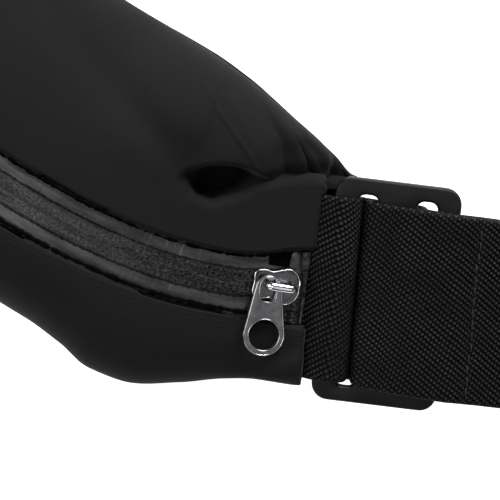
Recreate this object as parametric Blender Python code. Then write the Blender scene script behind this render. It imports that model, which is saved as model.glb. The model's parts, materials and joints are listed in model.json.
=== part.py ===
"""Stretch running belt (money belt): a soft zipped pouch on an elastic waist strap.

The closed belt lies as a ring. The pouch lies on its back along an arc at the front (-Y),
the strap leaves both ends nearly flat and then stands on its edge round the back (+Y).
Metres, +Z up. The origin is the middle of the bounding box, at the surface it lies on.
"""
import math

import bmesh
import bpy
from mathutils import Matrix, Vector

# ---- driving dimensions (metres, degrees) -------------------------------------------
LAYOUT_SHIFT = Vector((0.007576, 0.043594, 0.0))   # moves the arc frame to the origin
GAP = 0.0003                                   # clearance between touching pieces

# zip: an arc in a plane tilted back from the horizontal, its surface rolled outwards
ZIP_RADIUS = 0.143
ZIP_TILT = 19.0
ZIP_ROLL = 25.0
ZIP_CENTRE_Z = -0.0108
SEAM_ANGLE = 46.0              # half the angle between the two end seams
TAPE_ANGLE = 45.7
COIL_ANGLE = 44.9
SLIDER_ANGLE = 43.24           # closed zip, slider at the right-hand end
WINDOW_HALF = 0.0063           # half the width of zip left showing between the panels
TAPE_INNER = 0.0006
TAPE_OUTER = 0.0070
TAPE_TOP = -0.0003
TAPE_THICK = 0.0005
COIL_OFFSET = 0.0012
COIL_DEPTH = -0.00165
COIL_RADIUS = 0.00055
STOP_HALF_WIDTH = 0.0030

# pouch shells
SHELL = 0.0012
BED_OUTER = 0.010              # how far the flat bed stays inside the two pouch edges
BED_INNER = 0.014

# strap
WEB_WIDTH = 0.038
WEB_THICK = 0.0013
LAYER_OFFSET = 0.0008          # the two layers lie this far either side of the middle
STRAP_DROP = 0.0012            # strap middle below the zip surface at the seams
STRAP_TILT = 12.0
STRAP_EDGE_Z = 0.0193          # strap middle where it stands on edge
RIGHT_STRAIGHT = 0.060
RIGHT_BEND = 0.070
LEFT_STRAIGHT = 0.080
TWIST_LENGTH = 0.100
RIGHT_TWIST_START = 0.052
SEAM_GAP = 0.0009              # strap ends this far from the pouch end
RIGHT_SPLIT = 0.095            # the right-hand layers give as the tri-glide slides
LEFT_SPLIT = 0.130             # the left-hand loop gives as the buckle opens

# tri-glide: rail, three bars and two slots along the strap
GLIDE_START = 0.0028
GLIDE_BARS = (0.0046, 0.0044, 0.0076, 0.0044, 0.0046)
GLIDE_WIDTH = 0.046
GLIDE_THICK = 0.0026
GLIDE_SLOT_WIDTH = 0.0395
GLIDE_CORNER = 0.0028

# slider and puller
SLIDER_LENGTH = 0.0096
SLIDER_WIDTH = 0.0074
SLIDER_PLATE_TOP = 0.0014
SLIDER_PLATE_BASE = -0.0034
SLIDER_BASE_THICK = 0.0009
SLIDER_POST = 0.0006
BRIDGE_BACK = -0.0027
BRIDGE_FRONT = 0.0039
BRIDGE_WIDTH = 0.0017
BRIDGE_BASE = 0.0017
BRIDGE_TOP = 0.0046
BRIDGE_BAR = 0.0013
PULLER_LEVEL = 0.0023
PULLER_THICK = 0.0012
PULLER_LEG = 0.0003            # the leg that runs through the bridge, along the slider
PULLER_LEG_TURN = 14.0         # the leg against the line straight across the zip
PULLER_TAG_TURN = -7.5         # the tag's own middle line against its leg

# side-release buckle
BUCKLE_WIDTH = 0.048
BUCKLE_THICK = 0.0120
SOCKET_LENGTH = 0.036
MOUTH_FROM_SEAM = 0.052
PLUG_LENGTH = 0.018
BAR_LENGTH = 0.004
BAR_THICK = 0.003
BUCKLE_SLOT = 0.0045
BUCKLE_SLOT_WIDTH = 0.0395
PRONG_ROOT = 0.0120
PRONG_THICK = 0.0050

# mesh fineness
POUCH_STATIONS = 28
PANEL_STEPS = 7
ZIP_STATIONS = 40
STRAP_STEP = 0.0085

# pouch edges against distance from the nearer end seam: (distance, value)
OUTER_EDGE = ((0, 0.0190), (0.014, 0.0186), (0.022, 0.0215), (0.032, 0.0250),
              (0.044, 0.0212), (0.062, 0.0196), (0.115, 0.0215))
INNER_EDGE = ((0, 0.0290), (0.004, 0.0320), (0.014, 0.0370), (0.022, 0.0402),
              (0.042, 0.0430), (0.062, 0.0440), (0.115, 0.0465))
OUTER_EDGE_Z = ((0, 0.0163), (0.022, 0.0150), (0.050, 0.0170), (0.115, 0.0190))
INNER_EDGE_Z = ((0, 0.0240), (0.022, 0.0220), (0.055, 0.0195), (0.115, 0.0190))
BED_Z = ((0, 0.0176), (0.002, 0.0152), (0.006, 0.0128), (0.012, 0.0096),
         (0.022, 0.0050), (0.034, 0.0012), (0.042, 0.0), (0.115, 0.0))


# ---- small helpers ------------------------------------------------------------------
def clear_scene():
    for obj in list(bpy.data.objects):
        bpy.data.objects.remove(obj, do_unlink=True)


def make_material(name, colour, roughness, metallic=0.0):
    material = bpy.data.materials.new(name)
    material.use_nodes = True
    shader = material.node_tree.nodes["Principled BSDF"]
    shader.inputs["Base Color"].default_value = (*colour, 1.0)
    shader.inputs["Roughness"].default_value = roughness
    shader.inputs["Metallic"].default_value = metallic
    material.diffuse_color = (*colour, 1.0)
    return material


def interpolate(table, x):
    """Smooth monotone value of a small (x, y) table."""
    if x <= table[0][0]:
        return table[0][1]
    for (x0, y0), (x1, y1) in zip(table, table[1:]):
        if x <= x1:
            t = (x - x0) / (x1 - x0)
            return y0 + (y1 - y0) * (0.4 * t + 0.6 * t * t * (3 - 2 * t))
    return table[-1][1]


def smooth_step(t):
    t = min(1.0, max(0.0, t))
    return t * t * (3 - 2 * t)


def mesh_object(name, points, faces, material):
    mesh = bpy.data.meshes.new(name)
    mesh.from_pydata([tuple(p) for p in points], [], faces)
    work = bmesh.new()
    work.from_mesh(mesh)
    bmesh.ops.recalc_face_normals(work, faces=work.faces)
    work.to_mesh(mesh)
    work.free()
    mesh.materials.append(material)
    mesh.shade_smooth()
    mesh.set_sharp_from_angle(angle=math.radians(35))
    obj = bpy.data.objects.new(name, mesh)
    bpy.context.scene.collection.objects.link(obj)
    return obj


def loft(name, rings, material, strap=False):
    """Closed solid through rings of equal point count, flat caps on both ends.

    A strap's four-cornered rings twist, so its sides are split along the same diagonal on
    both faces, which keeps two layers that lie on each other apart.
    """
    count = len(rings[0])
    points = [p for ring in rings for p in ring]
    faces = [tuple(range(count))]
    for i in range(len(rings) - 1):
        a, b = i * count, (i + 1) * count
        for j in range(count):
            k = (j + 1) % count
            quad = (a + j, b + j, b + k, a + k)
            if not strap:
                faces.append(quad)
            elif j < 2:
                faces += [(quad[0], quad[1], quad[2]), (quad[0], quad[2], quad[3])]
            else:
                faces += [(quad[0], quad[1], quad[3]), (quad[1], quad[2], quad[3])]
    last = (len(rings) - 1) * count
    faces.append(tuple(range(last + count - 1, last - 1, -1)))
    return mesh_object(name, points, faces, material)


def slab(name, top_rows, bottom_rows, material):
    """Closed solid between two grids of points that lie over each other."""
    rows, columns = len(top_rows), len(top_rows[0])
    points = [p for row in top_rows for p in row] + [p for row in bottom_rows for p in row]
    base = rows * columns

    def quads(offset):
        for i in range(rows - 1):
            for j in range(columns - 1):
                a = offset + i * columns + j
                yield (a, a + 1, a + columns + 1, a + columns)

    faces = list(quads(0)) + [tuple(reversed(f)) for f in quads(base)]
    rim = [j for j in range(columns)]
    rim += [i * columns + columns - 1 for i in range(1, rows)]
    rim += [(rows - 1) * columns + j for j in range(columns - 2, -1, -1)]
    rim += [i * columns for i in range(rows - 2, 0, -1)]
    for a, b in zip(rim, rim[1:] + rim[:1]):
        faces.append((a, b, b + base, a + base))
    return mesh_object(name, points, faces, material)


def bezier(a, b, c, d, steps):
    points = []
    for i in range(steps + 1):
        t = i / steps
        r = 1 - t
        points.append(a * r ** 3 + b * 3 * r * r * t + c * 3 * r * t * t + d * t ** 3)
    return points


def box_object(name, size, centre, material, bevel=0.0, segments=2):
    bpy.ops.mesh.primitive_cube_add(size=1.0)
    obj = bpy.context.active_object
    obj.name = name
    obj.data.name = name
    obj.data.transform(Matrix.Translation(centre) @ Matrix.Diagonal((*size, 1.0)))
    obj.data.materials.append(material)
    if bevel:
        modifier = obj.modifiers.new("rounding", "BEVEL")
        modifier.width = bevel
        modifier.segments = segments
        modifier.limit_method = "ANGLE"
    return obj


def plate_object(name, outline, low, high, material, bevel=0.0):
    """Flat outline in local XY, extruded in Z, with softened rims."""
    rings = [[Vector((x, y, z)) for x, y in outline] for z in (low, high)]
    obj = loft(name, rings, material)
    if bevel:
        modifier = obj.modifiers.new("rounding", "BEVEL")
        modifier.width = bevel
        modifier.segments = 2
        modifier.limit_method = "ANGLE"
        modifier.angle_limit = math.radians(60)
    return obj


def cut(obj, cutter):
    modifier = obj.modifiers.new("cut_" + cutter.name, "BOOLEAN")
    modifier.operation = "DIFFERENCE"
    modifier.solver = "EXACT"
    modifier.object = cutter
    cutter.hide_render = True
    cutter.display_type = "WIRE"
    cutter.parent = obj


def add(obj, tool):
    modifier = obj.modifiers.new("join_" + tool.name, "BOOLEAN")
    modifier.operation = "UNION"
    modifier.solver = "EXACT"
    modifier.object = tool
    tool.hide_render = True
    tool.display_type = "WIRE"
    tool.parent = obj


def rounded_outline(length, width, radius, steps=5):
    points = []
    corners = ((1, 1, 0), (-1, 1, 90), (-1, -1, 180), (1, -1, 270))
    for sx, sy, start in corners:
        cx, cy = sx * (length / 2 - radius), sy * (width / 2 - radius)
        for i in range(steps + 1):
            angle = math.radians(start + 90 * i / steps)
            points.append((cx + radius * math.cos(angle), cy + radius * math.sin(angle)))
    return points


# ---- frames -------------------------------------------------------------------------
def zip_hub():
    """Frame of the zip arc: origin at its centre, Z along its axis."""
    centre = LAYOUT_SHIFT + Vector((0, 0, ZIP_CENTRE_Z))
    return Matrix.Translation(centre) @ Matrix.Rotation(math.radians(-ZIP_TILT), 4, "X")


def zip_frame(angle):
    """Frame on the zip line: X along the zip, Y to the inner side, Z out of its surface."""
    turn = Matrix.Rotation(math.radians(angle), 4, "Z")
    reach = Matrix.Translation((0, -ZIP_RADIUS, 0))
    roll = Matrix.Rotation(math.radians(ZIP_ROLL), 4, "X")
    return zip_hub() @ turn @ reach @ roll


def seam_point():
    return zip_frame(SEAM_ANGLE).translation


def seam_heading():
    along = zip_frame(SEAM_ANGLE).col[0]
    return math.atan2(along.y, along.x)


class StrapPath:
    """Middle line of the strap from the right-hand seam round the back to the left."""

    def __init__(self):
        start = seam_point()
        heading = seam_heading()
        turn = math.pi - heading
        side = Vector((-math.sin(heading), math.cos(heading)))
        along = Vector((math.cos(heading), math.sin(heading)))
        self.base_z = start.z - STRAP_DROP
        self.runs = []
        first = Vector(start.xy)
        corner = first + along * RIGHT_STRAIGHT
        right_centre = corner + side * RIGHT_BEND
        back_y = right_centre.y + RIGHT_BEND
        mirror_x = 2 * LAYOUT_SHIFT.x
        left_corner = Vector((mirror_x - first.x, first.y)) + Vector((-along.x, along.y)) * LEFT_STRAIGHT
        self.left_bend = (back_y - left_corner.y) / (1 + side.y)
        left_centre = left_corner + Vector((-side.x, side.y)) * self.left_bend
        back = right_centre.x - left_centre.x
        self.add_line(first, heading, RIGHT_STRAIGHT)
        self.add_arc(right_centre, heading, RIGHT_BEND, turn)
        self.add_line(Vector((right_centre.x, back_y)), math.pi, back)
        self.add_arc(left_centre, math.pi, self.left_bend, turn)
        self.add_line(left_corner, math.pi + turn, LEFT_STRAIGHT)
        self.length = sum(run[-1] for run in self.runs)

    def add_line(self, start, heading, length):
        self.runs.append(("line", start, heading, 0.0, length))

    def add_arc(self, centre, heading, radius, turn):
        self.runs.append(("arc", centre, heading, radius, radius * turn))

    def plan(self, s):
        for kind, point, heading, radius, length in self.runs:
            if s <= length or (kind, point) == (self.runs[-1][0], self.runs[-1][1]):
                break
            s -= length
        if kind == "line":
            return point + Vector((math.cos(heading), math.sin(heading))) * s, heading
        angle = heading + s / radius
        return point + Vector((math.sin(angle), -math.cos(angle))) * radius, angle

    def twist(self, s):
        left = self.length - s - LEFT_STRAIGHT
        return smooth_step(min((s - RIGHT_TWIST_START) / TWIST_LENGTH, left / TWIST_LENGTH))

    def frame(self, s):
        """X along the strap, Y across it to the inner edge, Z out of its face."""
        point, heading = self.plan(s)
        twist = self.twist(s)
        tilt = math.radians(STRAP_TILT + (90 - STRAP_TILT) * twist)
        height = self.base_z + (STRAP_EDGE_Z - self.base_z) * twist
        place = Matrix.Translation((point.x, point.y, height))
        return place @ Matrix.Rotation(heading, 4, "Z") @ Matrix.Rotation(tilt, 4, "X")


# ---- pouch --------------------------------------------------------------------------
def seam_distance(angle):
    return math.radians(SEAM_ANGLE - abs(angle)) * ZIP_RADIUS


def pouch_edge(angle, side, inset, drop):
    """Point on the pouch's rim; side is +1 for the inner edge, -1 for the outer."""
    frame = zip_frame(angle)
    along = Vector((frame.col[0].x, frame.col[0].y, 0)).normalized()
    inward = Vector((-along.y, along.x, 0))
    distance = seam_distance(angle)
    reach = interpolate(INNER_EDGE if side > 0 else OUTER_EDGE, distance)
    height = interpolate(INNER_EDGE_Z if side > 0 else OUTER_EDGE_Z, distance)
    point = frame.translation + inward * side * (reach - inset)
    return Vector((point.x, point.y, height - drop)), inward


def front_section(angle, side, inset):
    """Curve from the zip window to the rim, seen along the pouch."""
    frame = zip_frame(angle)
    start = frame @ Vector((0, side * WINDOW_HALF, SHELL - inset))
    across = frame.to_3x3() @ Vector((0, side, 0))
    rim, _ = pouch_edge(angle, side, inset, 0.0)
    span = (Vector(rim.xy) - Vector(start.xy)).length
    fall = max(0.0006, start.z - rim.z)
    return bezier(start, start + across * span * 0.55, rim + Vector((0, 0, fall * 0.55)), rim,
                  PANEL_STEPS)


def back_section(angle, inset):
    """Curve from the outer rim down, across the bed and up to the inner rim."""
    outer, inward = pouch_edge(angle, -1, inset, GAP)
    inner, _ = pouch_edge(angle, 1, inset, GAP)
    distance = seam_distance(angle)
    flat = smooth_step(distance / 0.042)
    slope = math.tan(math.radians(STRAP_TILT)) * (1 - flat)
    bed_height = interpolate(BED_Z, distance) + inset
    middle = zip_frame(angle).translation

    def bed(point):
        offset = (Vector(point.xy) - Vector(middle.xy)).dot(Vector(inward.xy))
        return Vector((point.x, point.y, bed_height + offset * slope))

    bed_outer = bed(outer + inward * BED_OUTER)
    bed_inner = bed(inner - inward * BED_INNER)
    drop_outer = Vector((0, 0, (outer.z - bed_outer.z) * 0.55))
    drop_inner = Vector((0, 0, (inner.z - bed_inner.z) * 0.55))
    lean_outer = bed(outer + inward * BED_OUTER * 0.4)
    lean_inner = bed(inner - inward * BED_INNER * 0.4)
    points = bezier(outer, outer - drop_outer, lean_outer, bed_outer, 4)
    points += [bed_outer.lerp(bed_inner, i / 4) for i in range(1, 4)]
    points += bezier(bed_inner, lean_inner, inner - drop_inner, inner, 4)
    return points


def station_angles(half, count):
    return [-half + 2 * half * i / count for i in range(count + 1)]


def make_pouch(fabric, lining):
    angles = station_angles(SEAM_ANGLE, POUCH_STATIONS)
    for name, side in (("pouch_front_upper", 1), ("pouch_front_lower", -1)):
        outside = [front_section(a, side, 0.0) for a in angles]
        inside = [front_section(a, side, SHELL) for a in angles]
        slab(name, outside, inside, fabric)
    outside = [back_section(a, 0.0) for a in angles]
    inside = [back_section(a, SHELL) for a in angles]
    slab("pouch_back_panel", outside, inside, lining)


# ---- zip ----------------------------------------------------------------------------
def zip_sweep(name, profile, start, end, steps, material):
    rings = []
    for i in range(steps + 1):
        frame = zip_frame(start + (end - start) * i / steps)
        rings.append([frame @ Vector((0, y, z)) for y, z in profile])
    return loft(name, rings, material)


def circle_profile(y, z, radius, sides=6):
    return [(y + radius * math.cos(2 * math.pi * i / sides),
             z + radius * math.sin(2 * math.pi * i / sides)) for i in range(sides)]


def make_zip(tape, coil, metal):
    low = TAPE_TOP - TAPE_THICK
    for name, side in (("upper", 1), ("lower", -1)):
        profile = [(side * y, z) for y, z in ((TAPE_INNER, low), (TAPE_OUTER, low),
                                              (TAPE_OUTER, TAPE_TOP), (TAPE_INNER, TAPE_TOP))]
        zip_sweep("zip_tape_" + name, profile, -TAPE_ANGLE, TAPE_ANGLE, ZIP_STATIONS, tape)
        profile = circle_profile(side * COIL_OFFSET, COIL_DEPTH, COIL_RADIUS)
        zip_sweep("zip_coil_" + name, profile, -COIL_ANGLE, COIL_ANGLE, ZIP_STATIONS, coil)
    stop = [(-STOP_HALF_WIDTH, -0.0022), (STOP_HALF_WIDTH, -0.0022),
            (STOP_HALF_WIDTH, -0.0012), (-STOP_HALF_WIDTH, -0.0012)]
    zip_sweep("zip_end_stop_right", stop, 45.2, 45.55, 1, metal)
    zip_sweep("zip_end_stop_left", stop, -45.55, -45.05, 1, metal)


def slider_outline():
    """Shield shape: a broad rounded mouth in front, a narrower squared tail behind."""
    half = SLIDER_LENGTH / 2
    wide = SLIDER_WIDTH / 2
    side = [(-half, 0.62 * wide), (-0.6 * half, 0.78 * wide), (-0.25 * half, 0.74 * wide),
            (0.15 * half, 0.92 * wide), (0.5 * half, wide), (0.82 * half, 0.8 * wide),
            (half, 0.36 * wide)]
    return side + [(x, -y) for x, y in reversed(side)]


def make_slider(metal, polished):
    hub = bpy.data.objects.new("zip_arc_hub", None)
    hub.matrix_world = zip_hub()
    bpy.context.scene.collection.objects.link(hub)
    place = hub.matrix_world.inverted() @ zip_frame(SLIDER_ANGLE)
    outline = slider_outline()
    body = plate_object("zip_slider_body", outline, 0.0, SLIDER_PLATE_TOP, metal, 0.0003)
    base = plate_object("slider_base", [(x * 0.96, y * 0.9) for x, y in outline],
                        SLIDER_PLATE_BASE, SLIDER_PLATE_BASE + SLIDER_BASE_THICK, metal)
    post_low = SLIDER_PLATE_BASE + SLIDER_BASE_THICK / 2
    post_high = SLIDER_PLATE_TOP / 2
    post = box_object("slider_post", (0.0040, SLIDER_POST, post_high - post_low),
                      (0.0012, 0, (post_high + post_low) / 2), metal)
    add(body, base)
    add(body, post)
    length = BRIDGE_FRONT - BRIDGE_BACK
    height = BRIDGE_TOP - BRIDGE_BASE
    middle = (BRIDGE_FRONT + BRIDGE_BACK) / 2
    bridge = box_object("zip_slider_bridge", (length, BRIDGE_WIDTH, height),
                        (middle, 0, BRIDGE_BASE + height / 2), polished, 0.0004)
    tunnel = box_object("bridge_tunnel",
                        (length - 0.0022, BRIDGE_WIDTH * 2, height * 2),
                        (middle, 0, BRIDGE_TOP - BRIDGE_BAR - height), polished)
    cut(bridge, tunnel)
    for obj in (body, bridge):
        obj.parent = hub
        obj.matrix_local = place


def puller_outline(steps=9):
    """Tag with a narrow ring end (y > 0) and a broad round end (y < 0), leg side at x = 0."""
    top_half, low_half = 0.0027, 0.0043
    centre = -0.0027
    points = []
    for i in range(steps + 1):
        angle = math.radians(10 + 160 * i / steps)
        points.append((centre + top_half * math.cos(angle), -0.0005 + top_half * math.sin(angle)))
    for i in range(steps + 1):
        angle = math.radians(180 + 180 * i / steps)
        points.append((centre + low_half * math.cos(angle), -0.0100 + low_half * math.sin(angle)))
    return points


def make_puller(metal):
    """The tag lies across the zip with its right-hand leg through the bridge."""
    place = zip_frame(SLIDER_ANGLE) @ Matrix.Translation((PULLER_LEG, 0, PULLER_LEVEL))
    pivot = bpy.data.objects.new("puller_pivot", None)
    pivot.matrix_world = place @ Matrix.Rotation(math.radians(PULLER_LEG_TURN), 4, "Z")
    bpy.context.scene.collection.objects.link(pivot)
    half = PULLER_THICK / 2
    tag = plate_object("zip_puller", [(x + 0.0005, y) for x, y in puller_outline()],
                       -half, half, metal, 0.0003)
    tag.parent = pivot
    tag.matrix_local = Matrix.Rotation(math.radians(PULLER_TAG_TURN), 4, "Z")
    bpy.ops.mesh.primitive_cylinder_add(vertices=24, radius=0.0031, depth=0.01,
                                        location=(-0.0022, -0.0100, 0))
    hole = bpy.context.active_object
    hole.name = "puller_hole"
    slot = plate_object("puller_slot", [(x - 0.0022, y - 0.0008) for x, y in
                                        rounded_outline(0.0036, 0.0052, 0.0016)],
                        -0.005, 0.005, metal)
    for tool in (hole, slot):
        cut(tag, tool)


# ---- strap --------------------------------------------------------------------------
def webbing(name, path, profile, material, width=WEB_WIDTH):
    """Flat strap through (distance, height) points on the strap path's own frames."""
    rings = []
    for i, (s, n) in enumerate(profile):
        before = profile[max(0, i - 1)]
        after = profile[min(len(profile) - 1, i + 1)]
        step = Vector((after[0] - before[0], after[1] - before[1])).normalized()
        frame = path.frame(s)
        lift = Vector((-step.y, 0, step.x)) * WEB_THICK / 2
        middle = Vector((0, 0, n))
        half = Vector((0, width / 2, 0))
        corners = (middle - half - lift, middle + half - lift,
                   middle + half + lift, middle - half + lift)
        rings.append([frame @ corner for corner in corners])
    return loft(name, rings, material, strap=True)


def steps_between(start, end, height):
    count = max(1, round(abs(end - start) / STRAP_STEP))
    return [(start + (end - start) * i / count, height) for i in range(count + 1)]


def make_strap(path, elastic):
    g = GLIDE_START
    b1, s1, mid, s2, b2 = GLIDE_BARS
    over = GLIDE_THICK / 2 + GAP + WEB_THICK / 2
    layer = WEB_THICK + GAP
    mid_start = g + b1 + s1
    mid_end = mid_start + mid
    glide_end = mid_end + s2 + b2
    run_down = g + b1 + 0.0013
    wrap_down = mid_start - GAP - WEB_THICK / 2
    tail_up = mid_end + GAP + WEB_THICK / 2
    run_up = tail_up + WEB_THICK + 0.00045
    under = over + layer
    threaded = [(SEAM_GAP, -0.0004), (g - 0.0004, 0.0019), (g + 0.0012, over),
                (g + b1 - 0.0006, over), (run_down - 0.0003, over - 0.0006), (run_down, 0.0008),
                (run_down, -0.0024), (run_down + 0.0004, -under + 0.0004), (run_down + 0.0014, -under),
                (run_up - 0.0014, -under), (run_up - 0.0004, -under + 0.0004), (run_up, -0.0024),
                (run_up, 0.0008), (run_up + 0.0005, over - 0.0006), (run_up + 0.0013, over),
                (glide_end, over)]
    webbing("webbing_threaded", path, threaded, elastic)
    run_start = glide_end + GAP
    run_right = [(run_start, over), (run_start + 0.005, 0.0002), (run_start + 0.009, -LAYER_OFFSET)]
    run_right += steps_between(run_start + 0.014, RIGHT_SPLIT, -LAYER_OFFSET)
    webbing("webbing_run_right", path, run_right, elastic)

    tail_end = glide_end + 0.0105
    outer = over + 2 * layer
    returned = [(tail_end, LAYER_OFFSET), (tail_end - 0.003, 0.0011), (glide_end + 0.0030, 0.0030),
                (glide_end + 0.0004, over + layer), (mid_end + s2 + 0.0006, over + layer),
                (tail_up + 0.0009, over + layer - 0.0006), (tail_up, 0.0016), (tail_up, -0.0012),
                (tail_up - 0.0004, -over + 0.0004), (tail_up - 0.0014, -over),
                (wrap_down + 0.0014, -over), (wrap_down + 0.0004, -over + 0.0004),
                (wrap_down, -0.0012), (wrap_down, 0.0012), (wrap_down + 0.0004, over - 0.0004),
                (wrap_down + 0.0014, over), (mid_start + 0.0030, over + 0.0002),
                (mid_end - 0.0012, over + 0.0020), (mid_end + 0.0020, outer - 0.0002),
                (glide_end, outer), (glide_end + 0.0030, outer - 0.0010),
                (tail_end - 0.0022, 0.0030), (tail_end + 0.0010, LAYER_OFFSET + layer),
                (tail_end + 0.0060, LAYER_OFFSET + 0.0004)]
    returned += steps_between(tail_end + 0.011, RIGHT_SPLIT, LAYER_OFFSET)
    webbing("webbing_return_right", path, returned, elastic)

    back_end = path.length - LEFT_SPLIT
    for name, height in (("run", -LAYER_OFFSET), ("return", LAYER_OFFSET)):
        profile = steps_between(RIGHT_SPLIT + GAP, back_end - GAP, height)
        webbing("webbing_%s_back" % name, path, profile, elastic)

    mouth = path.length - MOUTH_FROM_SEAM
    bar = BAR_THICK / 2 + GAP + WEB_THICK / 2
    bar_start = mouth - GAP - PLUG_LENGTH
    turn = bar_start + BAR_LENGTH + GAP + WEB_THICK / 2
    out = steps_between(back_end, bar_start - 0.006, -LAYER_OFFSET)
    half_loop = [(bar_start - 0.0010, -bar), (turn - 0.0014, -bar), (turn - 0.0004, -bar + 0.0004),
                 (turn, -0.0012)]
    loop = out + half_loop
    loop += [(s, -n) for s, n in reversed(loop)]
    webbing("webbing_buckle_loop", path, loop, elastic)

    tab_start = mouth + SOCKET_LENGTH
    turn = tab_start - BAR_LENGTH - GAP - WEB_THICK / 2
    near = path.length - SEAM_GAP
    out = [(near, -LAYER_OFFSET), (tab_start + 0.006, -LAYER_OFFSET), (tab_start + 0.0010, -bar),
           (turn + 0.0014, -bar), (turn + 0.0004, -bar + 0.0004), (turn, -0.0012)]
    webbing("webbing_tab_left", path, out + [(s, -n) for s, n in reversed(out)], elastic)


def make_tri_glide(path, plastic):
    length = sum(GLIDE_BARS)
    middle = GLIDE_START + length / 2
    half = GLIDE_THICK / 2
    glide = plate_object("tri_glide", rounded_outline(length, GLIDE_WIDTH, GLIDE_CORNER),
                         -half, half, plastic, 0.0006)
    start = -length / 2
    for index in (1, 3):
        slot_start = start + sum(GLIDE_BARS[:index])
        size = (GLIDE_BARS[index], GLIDE_SLOT_WIDTH, GLIDE_THICK * 2)
        slot = box_object("glide_slot_%d" % index, size,
                          (slot_start + GLIDE_BARS[index] / 2, 0, 0), plastic)
        cut(glide, slot)
    glide.matrix_world = path.frame(middle)


# ---- buckle -------------------------------------------------------------------------
def make_buckle(path, plastic):
    """Side-release buckle; X runs from the plug into the socket, X = 0 is the mouth."""
    place = path.frame(path.length - MOUTH_FROM_SEAM)
    slot_size = (BUCKLE_SLOT, BUCKLE_SLOT_WIDTH, BUCKLE_THICK * 2)

    socket = box_object("buckle_socket", (SOCKET_LENGTH, BUCKLE_WIDTH, BUCKLE_THICK),
                        (SOCKET_LENGTH / 2, 0, 0), plastic, 0.0025)
    cavity = box_object("socket_cavity", (0.050, 0.042, 0.0084), (0, 0, 0), plastic)
    windows = box_object("socket_windows", (0.0110, 0.080, 0.0070), (0.0155, 0, 0), plastic)
    slot_middle = SOCKET_LENGTH - BAR_LENGTH - BUCKLE_SLOT / 2
    socket_slot = box_object("socket_slot", slot_size, (slot_middle, 0, 0), plastic)
    bar_end = SOCKET_LENGTH - BAR_LENGTH - 0.0005
    shave = (SOCKET_LENGTH - bar_end) * 2
    shaves = []
    for sign in (1, -1):
        centre = (SOCKET_LENGTH, 0, sign * (BAR_THICK / 2 + 0.01))
        shaves.append(box_object("socket_bar_relief_%d" % (sign + 2),
                                 (shave, BUCKLE_SLOT_WIDTH, 0.02), centre, plastic))
    for tool in (cavity, windows, socket_slot, *shaves):
        cut(socket, tool)

    plug = box_object("buckle_plug", (PLUG_LENGTH, BUCKLE_WIDTH, BUCKLE_THICK * 0.8),
                      (-GAP - PLUG_LENGTH / 2, 0, 0), plastic, 0.0022)
    plug_slot = box_object("plug_slot", slot_size,
                           (-GAP - PLUG_LENGTH + BAR_LENGTH + BUCKLE_SLOT / 2, 0, 0), plastic)
    guide = box_object("plug_guide", (0.018, 0.0040, 0.0050), (0.0070, 0, 0), plastic, 0.0006)
    cut(plug, plug_slot)
    add(plug, guide)
    for sign in (1, -1):
        centre = (-GAP - PLUG_LENGTH, 0, sign * (BAR_THICK / 2 + 0.01))
        relief = box_object("plug_bar_relief_%d" % (sign + 2),
                            ((BAR_LENGTH + 0.0005) * 2, BUCKLE_SLOT_WIDTH, 0.02), centre, plastic)
        cut(plug, relief)

    for name, sign in (("inner", 1), ("outer", -1)):
        side = [(0.0002, 0.0145), (0.0105, 0.0182), (0.0115, 0.0226), (0.0150, 0.0236),
                (0.0200, 0.0196), (0.0212, 0.0165), (0.0150, 0.0128), (0.0002, 0.0095)]
        outline = [(x, sign * y) for x, y in (side if sign > 0 else reversed(side))]
        prong = plate_object("buckle_prong_" + name,
                             [(x, y - sign * PRONG_ROOT) for x, y in outline],
                             -PRONG_THICK / 2, PRONG_THICK / 2, plastic, 0.0005)
        prong.matrix_world = place @ Matrix.Translation((0, sign * PRONG_ROOT, 0))
    for obj in (socket, plug):
        obj.matrix_world = place


def main():
    clear_scene()
    fabric = make_material("stretch_fabric_black", (0.022, 0.022, 0.023), 0.85)
    lining = make_material("back_fabric_black", (0.018, 0.018, 0.019), 0.90)
    tape = make_material("laminated_zip_tape", (0.016, 0.016, 0.017), 0.28)
    coil = make_material("zip_coil_nylon", (0.014, 0.014, 0.015), 0.45)
    metal = make_material("gunmetal", (0.11, 0.11, 0.115), 0.32, 1.0)
    polished = make_material("gunmetal_polished", (0.30, 0.30, 0.31), 0.18, 1.0)
    elastic = make_material("elastic_webbing_black", (0.016, 0.016, 0.017), 0.80)
    plastic = make_material("moulded_plastic_black", (0.018, 0.018, 0.019), 0.42)

    path = StrapPath()
    make_pouch(fabric, lining)
    make_zip(tape, coil, metal)
    make_slider(metal, polished)
    make_puller(metal)
    make_strap(path, elastic)
    make_tri_glide(path, plastic)
    make_buckle(path, plastic)


main()
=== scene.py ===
"""Looks of the stretch running belt: soft skins, zip, webbing, metal, plastic and stage."""
import json
import math

import bmesh
import bpy
import numpy as np
from mathutils import Matrix, Vector


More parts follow.
